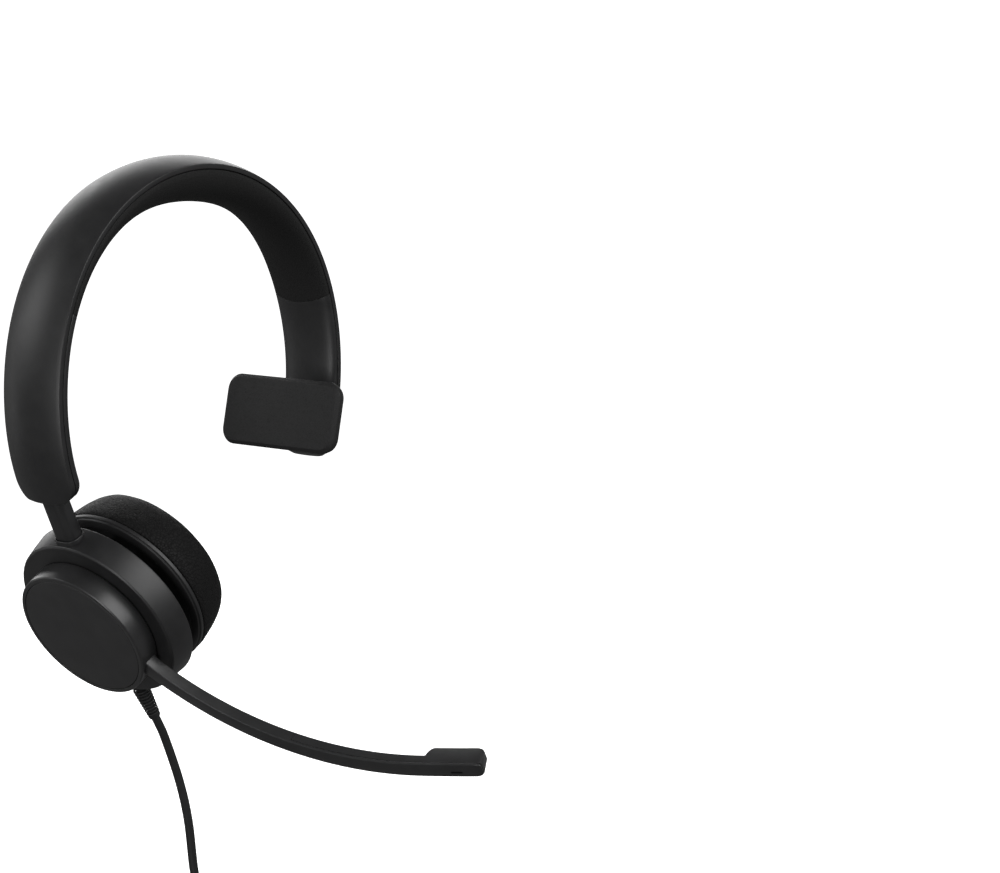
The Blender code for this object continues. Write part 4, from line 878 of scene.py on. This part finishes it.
def makeBand():
    side = band["side"] + band["seam"]
    shell = bandPiece(
        "headbandShell", band["rightEnd"], band["leftEnd"], shellSection,
        (band["corner"], band["corner"]), (band["endRound"], band["endRound"]),
    )
    wallTurn = stepOf(band["rightEnd"], band["endWall"])
    toeTurn = stepOf(band["rightEnd"], 7.0 * mm)
    corner = band["corner"]
    hollow = bandPiece(
        "shellHollow", band["rightEnd"] + wallTurn, band["leftEnd"] - wallTurn, hollowSection,
        (corner, corner), spacing=4.3 * mm,
    )
    combine(shell, [hollow, passage("shellPassage")])
    dress(shell, "satin", "headband", "black_plastic", "headband_shell")

    start = 180.0 - band["padEnd"] + 0.07
    leftSection = bellySection(side, 0.6 * mm, 0.5 * mm, 0.1 * mm, band["leftEnd"])
    left = bandPiece(
        "leftLegCover", start, band["leftEnd"], leftSection, (0.0, corner), (0.06 * mm, band["endRound"]),
        bows=(band["padBow"], 0.0),
    )
    hollow = bandPiece(
        "leftHollow", start + 4.2, band["leftEnd"] - toeTurn, coverHollow, (0.0, corner), spacing=4.1 * mm
    )
    combine(left, [hollow, passage("leftPassage")])
    dress(left, "satin", "headband", "black_plastic", "left_leg_cover")

    rightSection = bellySection(side, 0.6 * mm, 0.5 * mm, 0.1 * mm, band["rightEnd"])
    right = bandPiece(
        "rightLegCover", band["rightEnd"], band["padEnd"] - 0.07, rightSection, (corner, 0.0),
        (band["endRound"], 0.06 * mm), bows=(0.0, -band["padBow"]),
    )
    hollow = bandPiece(
        "rightHollow", band["rightEnd"] + toeTurn, band["padEnd"] - 4.2, coverHollow, (corner, 0.0),
        spacing=4.1 * mm,
    )
    legPlace = templeLeg()
    hole = cylinder("postHole", 3.3 * mm, -12.0 * mm, -2.0 * mm, legPlace, 40)
    combine(right, [hollow, hole])
    dress(right, "satin", "headband", "black_plastic", "right_leg_cover")

    pad = bandPiece(
        "crownPad", band["padEnd"], 180.0 - band["padEnd"], bellySection(side, 0.6 * mm, 0.7 * mm, 0.12 * mm),
        rounds=(0.08 * mm, 0.08 * mm), spacing=1.7 * mm, bows=(-band["padBow"], band["padBow"]),
    )
    dress(pad, "crown", "headband", "leatherette", "crown_pad")


def templeLeg():  # the leg's own frame at the temple pad: Z outwards, origin on the crease line
    angle = -6.5
    out = -inwardAt(angle)
    forward = Vector((0.0, -1.0, 0.0))
    turn = Matrix((forward, out.cross(forward), out)).transposed().to_4x4()
    return Matrix.Translation(archCentre + creaseAt(angle)) @ turn


def makeSlider():
    stem = prism(
        "sliderArm", slider["wide"], slider["thick"],
        slider["round"], -(slider["length"] + slider["seat"]), 1.5 * mm,
        stemPlace, edge=0.4 * mm, arc=12,
    )
    wide, thick = slider["rail"]
    long = slider["railLength"] + 4.0 * mm
    rail = roundedBox("rail", (wide, thick, long), (0.0, 0.0, long / 2.0 - 4.0 * mm), railPlace, 0.2 * mm, 2)
    foot = roundedBox("foot", (8.4 * mm, 8.6 * mm, 4.45 * mm), (0.0, 30.2 * mm, -13.775 * mm), cupFrame, 0.0)
    combine(stem, [rail, foot], "UNION")
    across = Matrix.Translation((0.0, 0.0, slider["railLength"] - 2.6 * mm))
    across = across @ Matrix.Rotation(math.pi / 2.0, 4, "X")
    stop = cylinder("stopHole", 1.5 * mm, -4.0 * mm, 4.0 * mm, railPlace @ across, 24)
    tapPlace = cupFrame @ Matrix.Translation((0.0, 28.6 * mm, 0.0))
    tap = cylinder("tap", 1.2 * mm, -30.0 * mm, -5.0 * mm, tapPlace, 16)
    combine(stem, [stop, tap])
    dress(stem, "satin", "earpiece", "black_plastic", "slider_arm")


makeBand()
makeSlider()
print("band done")

# ---- ear cup: turned pieces in the cup's frame, sizes in millimetres
cup = {
    "hubRadius": 27.2,
    "front": 9.15, "rear": 19.85, "frontRadius": 33.9, "rearRadius": 35.3, "wall": 1.8,
    "glandDepth": 13.3, "baffleRear": 27.45, "baffleFront": 30.2, "face": 48.2,
}


def makeHousing():
    front, rear = cup["front"], cup["rear"]
    housing = cupLathe("cupHousing", [
        (6.9, front, 0.2), (20.0, front, 0.0), (33.3, front, 0.45),
        (cup["frontRadius"] + 0.05, front + 0.6, 0.45),
        (34.6, 14.0, 0.0), (cup["rearRadius"], rear, 0.55), (33.5, rear, 0.2),
        (32.35, front + cup["wall"], 0.3), (6.9, front + cup["wall"], 0.0),
    ], 160)
    for turned in (-30.0, 210.0):
        a = math.radians(turned)
        where = cupFrame @ Matrix.Translation((28.6 * mm * math.cos(a), 28.6 * mm * math.sin(a), 0.0))
        combine(housing, [cylinder("post", 2.4 * mm, -16.3 * mm, -10.2 * mm, where, 24)], "UNION")
        combine(housing, [cylinder("postHole", 1.2 * mm, -40.0 * mm, -11.85 * mm, where, 16)])
    wide, thick = slider["wide"] + 0.6 * mm, slider["thick"] + 0.6 * mm
    low = -(slider["length"] + slider["seat"] + 0.3 * mm)
    socket = prism("socket", wide, thick, 3.2 * mm, low, 0.0, stemPlace, arc=12)
    combine(housing, [socket])
    gland = glandFrame()
    combine(housing, [cylinder("glandBore", 3.6 * mm, 28.6 * mm, 40.3 * mm, gland, 48)])
    dress(housing, "satin", "earpiece", "black_plastic", "cup_housing")

    # A raised lip follows the socket where the stem goes in
    lip = prism(
        "stemCollar", wide + 0.8 * mm, thick + 0.8 * mm, 3.6 * mm, -19.5 * mm, -16.6 * mm, stemPlace,
        edge=0.3 * mm, steps=4, arc=12,
    )
    bore = prism("collarBore", wide, thick, 3.2 * mm, -30.0 * mm, 0.0, stemPlace, arc=12)
    combine(lip, [bore])
    dress(lip, "satin", "earpiece", "black_plastic")


def glandFrame():  # Z down the cup, out through its wall
    turn = Matrix(((1.0, 0.0, 0.0), (0.0, 0.0, -1.0), (0.0, 1.0, 0.0))).to_4x4()
    return cupFrame @ Matrix.Translation((0.0, 0.0, -cup["glandDepth"] * mm)) @ turn


def makeBaffle():
    rear, front = cup["baffleRear"], cup["baffleFront"]
    baffle = cupLathe("cupBaffle", [
        (14.5, rear + 1.2, 0.2), (24.5, rear + 1.2, 0.2), (24.5, rear, 0.4), (29.6, rear, 0.3),
        (30.1, rear - 1.95, 0.35), (32.9, rear - 1.05, 0.3),
        (33.1, rear - 0.55, 0.1), (33.75, rear - 0.35, 0.25),
        (33.75, rear + 1.02, 0.2), (30.8, rear + 1.02, 0.1), (30.8, front, 0.3), (14.5, front, 0.2),
    ], 160)
    place = frameOn(joints["cup_nod"]["pos_m"], cupOut)
    for side in (-1.0, 1.0):
        y = side * (19.9 + 1.5) * mm
        lug = roundedBox("lug", (7.0 * mm, 3.0 * mm, 7.15 * mm), (0.0, y, -1.875 * mm), place, 0.5 * mm, 3)
        combine(baffle, [lug], "UNION")
    borePlace = place @ Matrix.Rotation(math.pi / 2.0, 4, "X")
    bore = cylinder("baffleBore", 1.05 * mm, -30.0 * mm, 30.0 * mm, borePlace, 24)
    combine(baffle, [bore])
    dress(baffle, "satin", "ear_cup", "black_plastic", "cup_baffle")
    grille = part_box("scrim_cloth")
    centre = (grille[0] + grille[1]) / 2.0
    level = (cupFrame.inverted() @ centre).z
    profile = [
        (0.0, 0.16, 0.0), (8.0, 0.16, 0.0), (15.0, 0.15, 0.0),
        (15.9, 0.10, 0.12), (15.9, -0.15, 0.1), (0.0, -0.15, 0.0),
    ]
    outline = softened([(r * mm, level - d * mm, c * mm) for r, d, c in profile])
    cloth = lathe("speakerScrim", outline, cupFrame, 96)
    dress(cloth, "scrim", "ear_cup", "scrim", "scrim_cloth")


boom = {
    "root": 29.5, "heading": 41.6, "turn": -50.0,
    "straight": 0.82, "length": 133.6 * mm, "reachIn": 18.0 * mm,
    "height": 5.8 * mm, "thick": 4.8 * mm, "level": 4.6 * mm, "seamStart": 0.45,
    "blockLength": 22.0 * mm, "blockRise": 4.2 * mm,
    "blockInset": 0.3 * mm, "split": -1.35 * mm, "seam": 0.2 * mm,
    "edges": (0.4 * mm, 0.45 * mm),
    "lean": 0.16,  # how far the end face leans back, per unit of depth
}
boomLine = []


def traceBoom(count=2000):
    a = math.radians(boom["root"])
    forward, drop = cup["hubRadius"] * mm * math.cos(a), cup["hubRadius"] * mm * math.sin(a)
    for i in range(count + 1):
        share = i / count
        boomLine.append(Vector((forward, -drop, -(boom["level"] + boom["reachIn"] * share**2))))
        heading = math.radians(boom["heading"] + boom["turn"] * min(share + 0.5 / count, boom["straight"]))
        forward += boom["length"] / count * math.cos(heading)
        drop += boom["length"] / count * math.sin(heading)


traceBoom()


def boomAt(share):
    count = len(boomLine) - 1
    at = share * count
    low = min(max(int(math.floor(at)), 0), count - 1)
    if at < 0:  # carried on straight behind the root
        return boomLine[0] + (boomLine[1] - boomLine[0]) * at
    return boomLine[low].lerp(boomLine[low + 1], at - low)


def boomAxes(share):
    along = (boomAt(share + 0.004) - boomAt(share - 0.004)).normalized()
    across = Vector((-along.y, along.x, 0.0)).normalized()
    inwards = along.cross(across)
    if inwards.z > 0.0:
        inwards.negate()
    return across, inwards


def boomRing(share, low, high, shrink, roundLow, roundHigh, steps=4, grow=0.0, shoulder=None):
    # Section of the arm: low is its outer face, high its inner one; a shoulder narrows it above a level
    centre = boomAt(share)
    across, inwards = boomAxes(share)
    back = (boomAt(share - 0.004) - boomAt(share + 0.004)).normalized()
    back *= boom["lean"] * ease((share - 0.90) / 0.10)
    half = boom["height"] / 2.0 - shrink + grow
    level, inset = shoulder or ((low + high) / 2.0, 0.0)
    rows = [(half, low, roundLow, -90.0, -1)]
    if shoulder is not None:
        rows += [(half, level, 0.0, 0.0, 1), (half - inset, level + inset * 0.4, 0.0, 0.0, 1)]
    rows.append((half - inset, high, roundHigh, 0.0, 1))
    points = []
    for side in (1, -1):
        for wide, at, radius, first, sign in rows if side > 0 else reversed(rows):
            base = at - sign * radius
            for step in range(steps + 1 if radius else 1):
                turned = first + 90.0 * step / steps
                if side < 0 and radius:
                    turned = 180.0 - first - 90.0 * (steps - step) / steps
                a = math.radians(turned)
                reach = wide - radius + radius * abs(math.cos(a))
                depth = base + radius * math.sin(a)
                lean = back * (depth + boom["thick"] / 2.0)
                points.append(centre + across * (side * reach) + inwards * depth + lean)
    return points


def makeBoom():
    hub = cupLathe("boomHub", [
        (3.4, 1.5, 0.0), (25.45, 1.5, 0.0), (25.45, 0.0, 0.12),
        (26.75, 0.0, 0.3), (27.2, 0.45, 0.3), (27.2, 8.85, 0.4),
        (25.4, 8.85, 0.2), (25.4, 3.3, 0.3), (6.6, 3.3, 0.3), (6.6, 12.0, 0.2), (3.4, 12.0, 0.0),
    ], 180, 5)
    half = boom["thick"] / 2.0
    split = boom["split"]
    step = boom["seamStart"]
    outer, inner = boom["edges"]
    rings = []
    for share in [-0.014, 0.0, 0.012, 0.024] + [0.03 + (step - 0.03) * i / 22.0 for i in range(1, 23)]:
        flare = 0.7 * mm * max(0.0, 1.0 - (share + 0.014) / 0.04) ** 2  # swells where it leaves the hub
        rings.append(boomRing(share, -half - flare * 0.4, half + flare * 0.6, 0.0, outer, inner, grow=flare))
    for share in [step + 0.0008] + [step + (0.978 - step) * i / 26.0 for i in range(1, 27)]:
        rings.append(boomRing(share, -half, split, 0.0, outer, 0.1 * mm))
    for i in range(1, 8):  # the end: lower corner rounded more than the upper one
        a = math.pi / 2.0 * i / 7
        share = 0.978 + 0.021 * math.sin(a)
        drop = 1.0 - math.cos(a)
        rings.append(boomRing(share, -half + 0.45 * mm * drop, split, 1.25 * mm * drop, outer, 0.1 * mm))
    combine(hub, [loft("boomArm", rings, cupFrame)], "UNION")

    block = 1.0 - boom["blockLength"] / boom["length"]
    start = step + 0.0016
    high = half + boom["blockRise"]
    rise = high - half
    inset = boom["blockInset"]
    low = split + boom["seam"]
    rows = [(start + (block - 0.004 - start) * i / 18.0, half, 0.0, 0.0) for i in range(19)]
    for i in range(10):  # rounded step up on to the microphone block
        a = math.pi / 2.0 * i / 9
        level = half + 0.12 * mm + (rise - 0.12 * mm) * math.sin(a)
        rows.append((block + 0.017 * (1.0 - math.cos(a)), level, 0.0, inset * math.sin(a)))
    rows += [(block + 0.03, high, 0.0, inset), (0.92, high, 0.0, inset), (0.96, high, 0.0, inset)]
    rows.append((0.972, high, 0.0, inset))
    for i in range(1, 9):
        a = math.pi / 2.0 * i / 8
        drop = 1.0 - math.cos(a)
        rows.append((0.980 + 0.020 * math.sin(a), high - 1.0 * mm * drop, 1.0 * mm * drop, inset * (1.0 - drop)))
    rings = []
    for share, level, shrink, narrow in rows:
        shoulder = (min(half - 0.05 * mm, level - inner - 0.4 * mm), narrow)
        rings.append(boomRing(share, low, level, shrink, 0.1 * mm, inner, shoulder=shoulder))
    cover = loft("boomCover", rings, cupFrame)
    middle = (block + 1.0) / 2.0 + 0.01
    across, inwards = boomAxes(middle)
    along = across.cross(inwards)
    if across.cross(along).dot(inwards) < 0.0:
        along.negate()
    spot = Matrix.Translation(boomAt(middle)) @ Matrix((across, along, inwards)).transposed().to_4x4()
    spot = cupFrame @ spot
    floor = high - 0.9 * mm
    bore = cylinder("micBore", 2.15 * mm, low - 0.5 * mm, floor, spot, 40)
    port = cylinder("micPort", 0.9 * mm, floor - 0.4 * mm, high + 2.0 * mm, spot, 32)
    combine(cover, [bore, port])
    dress(cover, "hub", "boom", "hub_plastic", "boom_cover")
    ventPlace = spot @ Matrix.Translation((-0.8 * mm, 0.0, 0.0))
    vent = prism("vent", 0.9 * mm, 4.6 * mm, 0.42 * mm, -half - 2.0 * mm, -half + 1.9 * mm, ventPlace)
    for turned in (90.0, 210.0, 330.0):
        a = math.radians(turned)
        where = cupFrame @ Matrix.Translation((5.0 * mm * math.cos(a), 5.0 * mm * math.sin(a), 0.0))
        combine(hub, [cylinder("screwHole", 0.8 * mm, -14.4 * mm, -7.8 * mm, where, 16)])
    combine(hub, [vent])
    dress(hub, "hub", "boom", "hub_plastic", "boom_hub")

    cap = cupLathe("hubCap", [
        (0.0, 0.0, 0.0), (12.0, 0.0, 0.0), (25.3, 0.0, 0.35), (25.3, 1.2, 0.1), (0.0, 1.2, 0.0),
    ], 180)
    dress(cap, "cap", "boom", "hub_plastic", "hub_cap")


makeHousing()
makeBaffle()
makeBoom()
print("ear cup and boom done")

# ---- ear cushion: foam ring in leatherette, puffed by a cloth simulation
cushion = {
    "voxel": 1.0 * mm, "pressure": 4.0, "frames": 20, "cap": 0.7 * mm, "pinBelow": 3.0 * mm,
    "outer": (
        (0.0, -0.25), (0.02, 0.05), (0.10, 0.12), (0.25, -0.1),
        (0.50, -1.0), (0.72, -2.2), (0.87, -3.8), (0.955, -6.3),
        (0.995, -9.0),
    ),
    "inner": ((1.0, 7.5), (0.97, 4.4), (0.89, 2.1), (0.76, 0.8), (0.6, 0.4)),
    "seamRadius": 24.6 * mm, "seamDepth": 0.45 * mm, "seamWide": 0.75 * mm,
}


def makeCushion():
    seat = cup["baffleRear"] + 1.3
    pocket = cup["baffleFront"] + 2.4
    height = cup["face"] - 0.4 - seat
    profile = [(33.75 + change, seat + share * height) for share, change in cushion["outer"]]
    profile += [(15.2 + change, seat + share * height) for share, change in cushion["inner"]]
    profile += [(15.5, pocket), (31.1, pocket), (31.1, seat)]
    base = lathe("cushionStart", [(r * mm, -d * mm) for r, d in profile], Matrix(), 144)
    remesh = base.modifiers.new("Even", "REMESH")
    remesh.mode = "VOXEL"
    remesh.voxel_size = cushion["voxel"]
    data = bpy.data.meshes.new_from_object(base.evaluated_get(bpy.context.evaluated_depsgraph_get()))
    bpy.data.objects.remove(base)
    data.name = "earCushion"
    pad = bpy.data.objects.new("earCushion", data)
    shown.objects.link(pad)
    rest = [vertex.co.copy() for vertex in data.vertices]
    rear = -seat * mm - cushion["pinBelow"]
    held = pad.vertex_groups.new(name="held")
    held.add([i for i, co in enumerate(rest) if co.z > rear], 1.0, "REPLACE")
    cloth = pad.modifiers.new("Puff", "CLOTH")
    cloth.settings.use_pressure = True
    cloth.settings.uniform_pressure_force = cushion["pressure"]
    cloth.settings.effector_weights.gravity = 0.0
    cloth.settings.vertex_group_mass = "held"
    cloth.settings.quality = 5
    scene = bpy.context.scene
    for step in range(1, cushion["frames"] + 1):
        scene.frame_set(step)
    graph = bpy.context.evaluated_depsgraph_get()
    puffed = [vertex.co.copy() for vertex in pad.evaluated_get(graph).data.vertices]
    pad.modifiers.clear()
    pad.vertex_groups.clear()
    scene.frame_set(1)
    for vertex, start, end in zip(data.vertices, rest, puffed):
        move = end - start
        if move.length > cushion["cap"]:
            move *= cushion["cap"] / move.length
        vertex.co = start + move
    finer = pad.modifiers.new("Finer", "SUBSURF")
    finer.levels = finer.render_levels = 1
    fine = bpy.data.meshes.new_from_object(pad.evaluated_get(bpy.context.evaluated_depsgraph_get()))
    pad.modifiers.clear()
    pad.data = fine
    fine.name = "earCushion"
    bpy.data.meshes.remove(data)
    for vertex in fine.vertices:  # seam on the inner shoulder, and slight unevenness of hand-drawn leatherette
        co = vertex.co
        radius = math.hypot(co.x, co.y)
        if co.z < -(cup["face"] - 4.0) * mm:
            fold = math.exp(-(((radius - cushion["seamRadius"]) / cushion["seamWide"]) ** 2))
            vertex.co.z += cushion["seamDepth"] * fold
        if co.z < rear and radius > 18.0 * mm:
            wave = noise.noise(co * 95.0) * 0.22 * mm + noise.noise(co * 260.0) * 0.06 * mm
            out = Vector((co.x, co.y, 0.0)) / radius
            vertex.co += out * wave
    fine.transform(cupFrame)
    fine.shade_smooth()
    dress(pad, "leather", "ear_cup", "leatherette", "ear_cushion")


makeCushion()
print("cushion done")

# ---- temple pad: soft block with a rolled rim on a stiff plate
temple = {
    "length": 57.8 * mm, "height": 28.2 * mm, "corner": 6.5 * mm, "thick": 3.0 * mm,
    "rim": 1.5 * mm, "slope": math.radians(48.0), "edge": 0.3 * mm, "dome": 0.22 * mm,
}


def makeTemple():
    low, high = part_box("temple_pad")
    centre = templeFrame.inverted() @ ((low + high) / 2.0)
    back = centre.z + temple["thick"] / 2.0
    face = back - temple["thick"]
    rings = []

    def ring(inset, z):
        size = (temple["length"] - 2.0 * inset, temple["height"] - 2.0 * inset)
        outline = roundedOutline(*size, max(temple["corner"] - inset, 0.4 * mm), 12)
        return [(x, y + centre.y, z) for x, y in outline]

    for i in range(5):
        a = math.pi / 2.0 * i / 4
        rings.append(ring(0.6 * mm * (1.0 - math.sin(a)), back - 0.6 * mm * (1.0 - math.cos(a))))
    rim, slope, edge = temple["rim"], temple["slope"], temple["edge"]
    for i in range(5):  # side wall rolls into a sloping rim
        a = slope * i / 4
        level = face + rim * math.tan(slope) * 0.62 + 0.5 * mm * (1.0 - math.sin(a))
        rings.append(ring(0.5 * mm * (1.0 - math.cos(a)), level))
    for i in range(5):  # rim breaks crisply into the face
        a = slope + (math.pi / 2.0 - slope) * i / 4
        rings.append(ring(rim - edge * math.cos(a), face + edge * (1.0 - math.sin(a))))
    for share in (0.10, 0.25, 0.45, 0.7, 1.0):  # a slight dome over the face
        level = face - temple["dome"] * math.sin(share * math.pi / 2.0)
        rings.append(ring(temple["rim"] + share * 11.0 * mm, level))
    pad = loft("templePad", rings, templeFrame)
    dress(pad, "silicone", "temple_pad", "leatherette", "temple_pad")

    low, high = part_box("temple_plate")
    plateBack = back + 0.15 * mm + 1.7 * mm
    plate = prism(
        "templePlate", temple["length"] - 1.4 * mm,
        temple["height"] - 1.4 * mm, 5.8 * mm, plateBack - 1.7 * mm, plateBack,
        templeFrame @ Matrix.Translation((0.0, centre.y, 0.0)), edge=0.5 * mm, arc=12,
    )
    for side in (-1.0, 1.0):
        x = side * 3.7 * mm
        bottom = plateBack - 0.8 * mm
        size = (2.4 * mm, 6.6 * mm, 2.0 * mm - bottom)
        ear = roundedBox("ear", size, (x, 0.0, (2.0 * mm + bottom) / 2.0), templeFrame, 0.5 * mm)
        combine(plate, [ear], "UNION")
    borePlace = templeFrame @ Matrix.Rotation(math.pi / 2.0, 4, "Y")
    bore = cylinder("earBore", 1.05 * mm, -20.0 * mm, 20.0 * mm, borePlace, 24)
    combine(plate, [bore])
    dress(plate, "satin", "temple_pad", "black_plastic", "temple_plate")


makeTemple()
print("temple pad done")


# ---- repeated features: geometry nodes, turned into plain meshes
def nodeTree(name, inputs):
    tree = bpy.data.node_groups.new(name, "GeometryNodeTree")
    tree.interface.new_socket(name="Geometry", in_out="OUTPUT", socket_type="NodeSocketGeometry")
    for label, kind, value in inputs:
        socket = tree.interface.new_socket(name=label, in_out="INPUT", socket_type=kind)
        socket.default_value = value
    return tree, tree.nodes.new("NodeGroupInput"), tree.nodes.new("NodeGroupOutput")


def linked(tree, kind, settings=None, inputs=None):
    made = tree.nodes.new(kind)
    for name, value in (settings or {}).items():
        setattr(made, name, value)
    for name, value in (inputs or {}).items():
        if isinstance(value, bpy.types.NodeSocket):
            tree.links.new(value, made.inputs[name])
        else:
            made.inputs[name].default_value = value
    return made


def grown(name, tree, values, place):
    # The tree's mesh as a plain object; inputs are set by their identifiers before it is evaluated
    made = bpy.data.objects.new(name, bpy.data.meshes.new(name))
    shown.objects.link(made)
    made.hide_viewport = False
    growth = made.modifiers.new("Growth", "NODES")
    growth.node_group = tree
    for item in tree.interface.items_tree:
        if item.in_out == "INPUT" and item.name in values:
            growth[item.identifier] = values[item.name]
    made.update_tag()
    bpy.context.view_layer.update()
    data = bpy.data.meshes.new_from_object(made.evaluated_get(bpy.context.evaluated_depsgraph_get()))
    made.modifiers.clear()
    old = made.data
    made.data = data
    bpy.data.meshes.remove(old)
    data.name = name
    work = bmesh.new()
    work.from_mesh(data)
    bmesh.ops.remove_doubles(work, verts=work.verts, dist=1e-7)
    bmesh.ops.recalc_face_normals(work, faces=work.faces)
    work.to_mesh(data)
    work.free()
    data.transform(place)
    smoothed(data)
    return made


gland = {
    "start": 3.3 * mm, "end": 2.5 * mm, "length": 16.5 * mm, "ribs": 9, "rib": 0.42 * mm, "core": 1.2 * mm,
}


def ribTree():
    # Rings of a torus-like rib, stepped along a line and scaled down towards the end
    tree, given, result = nodeTree("glandRibs", [
        ("Ribs", "NodeSocketInt", 5), ("Length", "NodeSocketFloat", 0.015),
        ("Start", "NodeSocketFloat", 0.003), ("End", "NodeSocketFloat", 0.002),
        ("Rib", "NodeSocketFloat", 0.0006),
    ])
    line = linked(tree, "GeometryNodeMeshLine", {"mode": "END_POINTS"}, {"Count": given.outputs["Ribs"]})
    top = linked(tree, "ShaderNodeCombineXYZ", None, {"Z": given.outputs["Length"]})
    tree.links.new(top.outputs[0], line.inputs["Offset"])
    ring = linked(tree, "GeometryNodeCurvePrimitiveCircle", None, {"Resolution": 48, "Radius": 1.0})
    shape = linked(tree, "GeometryNodeCurvePrimitiveCircle", None, {"Resolution": 12})
    share = linked(tree, "ShaderNodeMath", {"operation": "DIVIDE"}, {
        0: given.outputs["Rib"], 1: given.outputs["Start"],
    })
    tree.links.new(share.outputs[0], shape.inputs["Radius"])
    body = linked(tree, "GeometryNodeCurveToMesh", None, {
        "Curve": ring.outputs[0], "Profile Curve": shape.outputs[0], "Fill Caps": False,
    })
    index = linked(tree, "GeometryNodeInputIndex")
    last = linked(tree, "ShaderNodeMath", {"operation": "SUBTRACT"}, {0: given.outputs["Ribs"], 1: 1.0})
    along = linked(tree, "ShaderNodeMath", {"operation": "DIVIDE"}, {0: index.outputs[0], 1: last.outputs[0]})
    size = linked(tree, "ShaderNodeMapRange", None, {
        "Value": along.outputs[0], "To Min": given.outputs["Start"], "To Max": given.outputs["End"],
    })
    copies = linked(tree, "GeometryNodeInstanceOnPoints", None, {
        "Points": line.outputs[0], "Instance": body.outputs[0], "Scale": size.outputs[0],
    })
    real = linked(tree, "GeometryNodeRealizeInstances", None, {"Geometry": copies.outputs[0]})
    painted = linked(tree, "GeometryNodeSetMaterial", None, {
        "Geometry": real.outputs[0], "Material": finishes["gland"],
    })
    tree.links.new(painted.outputs[0], result.inputs[0])
    return tree


def makeGland():
    wall = 34.446 * mm
    place = glandFrame()
    length = gland["length"]
    core = lathe("cableGland", softened([
        (0.0, 30.6 * mm, 0.0), (gland["start"], 30.6 * mm, 0.2 * mm),
        (gland["start"], wall + 0.9 * mm, 0.3 * mm),
        (gland["start"] - gland["core"], wall + 1.7 * mm, 0.3 * mm),
        (gland["end"] - 0.75 * mm, wall + length - 2.0 * mm, 0.0),
        (gland["end"] - 0.1 * mm, wall + length - 1.9 * mm, 0.0),
        (gland["end"] - 0.25 * mm, wall + length, 0.2 * mm),
        (0.0, wall + length, 0.0),
    ]), place, 64)
    values = {
        "Ribs": gland["ribs"], "Length": length - 5.0 * mm, "Start": gland["start"] - gland["rib"],
        "End": gland["end"] - gland["rib"] * 0.7, "Rib": gland["rib"],
    }
    ribs = grown("glandRibs", ribTree(), values, place @ Matrix.Translation((0.0, 0.0, wall + 2.9 * mm)))
    combine(core, [ribs], "UNION")
    dress(core, "gland", "earpiece", "black_plastic", "cable_gland")


makeGland()
print("gland done")

# ---- cord tie: a strip of hook tape wrapped round the coil, its end lapped over its start
tie = {
    "at": 205.0, "width": 8.0 * mm, "wall": 1.0 * mm, "tape": 0.44 * mm, "lap": 38.0, "edge": 0.18 * mm,
    "ripple": 0.22 * mm, "waves": 5.0, "steps": 96,
}


def makeTie():
    low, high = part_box("cable_tie")
    ringLow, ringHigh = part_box("cord_coil")
    a = math.radians(tie["at"])
    centre = (ringLow + ringHigh) / 2.0 + Vector((math.cos(a), 0.0, math.sin(a))) * cordSizes["ring"]
    along = Vector((-math.sin(a), 0.0, math.cos(a)))
    place = Matrix.Translation(centre) @ along.to_track_quat("Z", "Y").to_matrix().to_4x4()
    inside = (high.y - low.y) / 2.0 - tie["wall"] + 0.02 * mm
    tape, half = tie["tape"], tie["width"] / 2.0 - tie["ripple"]
    corners = ((-half, 0.0), (half, 0.0), (half, tape), (-half, tape))
    outline = softened([(w, t, tie["edge"]) for w, t in corners], 3)
    rings = []
    turned = 360.0 + tie["lap"]
    for i in range(tie["steps"] + 1):
        angle = turned * i / tie["steps"]
        a = math.radians(angle)
        # the tape steps up before it laps its start
        radius = inside + (tape + 0.04 * mm) * ease((angle - 300.0) / 55.0)
        shift = tie["ripple"] * 0.5 * math.sin(math.radians(angle) * tie["waves"] / 2.0)
        rings.append([((radius + t) * math.cos(a), (radius + t) * math.sin(a), w + shift) for w, t in outline])
    made = loft("cableTie", rings, place)
    dress(made, "tie", "earpiece", "black_plastic", "cable_tie")
    return made

# ---- carried-over pieces of the frame
carried = {
    "inner": (
        "cable_clamp", "cushion_ring", "gimbal_ring", "housing_back_plate", "hub_retainer", "pad_carrier",
        "plug_tongue", "slider_guide", "speaker_diaphragm", "speaker_grille", "mic_boot",
    ),
    "pin": (
        "back_screw_front", "back_screw_rear", "back_screw_top", "band_screw_left", "band_screw_right",
        "cup_pin_lower", "cup_pin_upper", "plate_pin_front",
        "plate_pin_rear", "mic_capsule", "slider_stop_pin",
        "retainer_screw_front", "retainer_screw_rear", "retainer_screw_top", "temple_pin", "temple_screw",
    ),
    "spring": (
        "detent_leaf", "friction_washer", "speaker_basket",
        "speaker_magnet", "spring_band", "plug_shell", "mic_mesh",
    ),
    "board": ("circuit_board",),
    "satin": ("temple_post", "plug_overmould"),
}
for finish, names in carried.items():
    for name in names:
        slots = nodes[name].material_slots
        for i in range(len(slots)):
            slots[i].material = finishes[finish]

onCord = [nodes["plug_overmould"], nodes["plug_shell"], nodes["plug_tongue"], makeTie()]
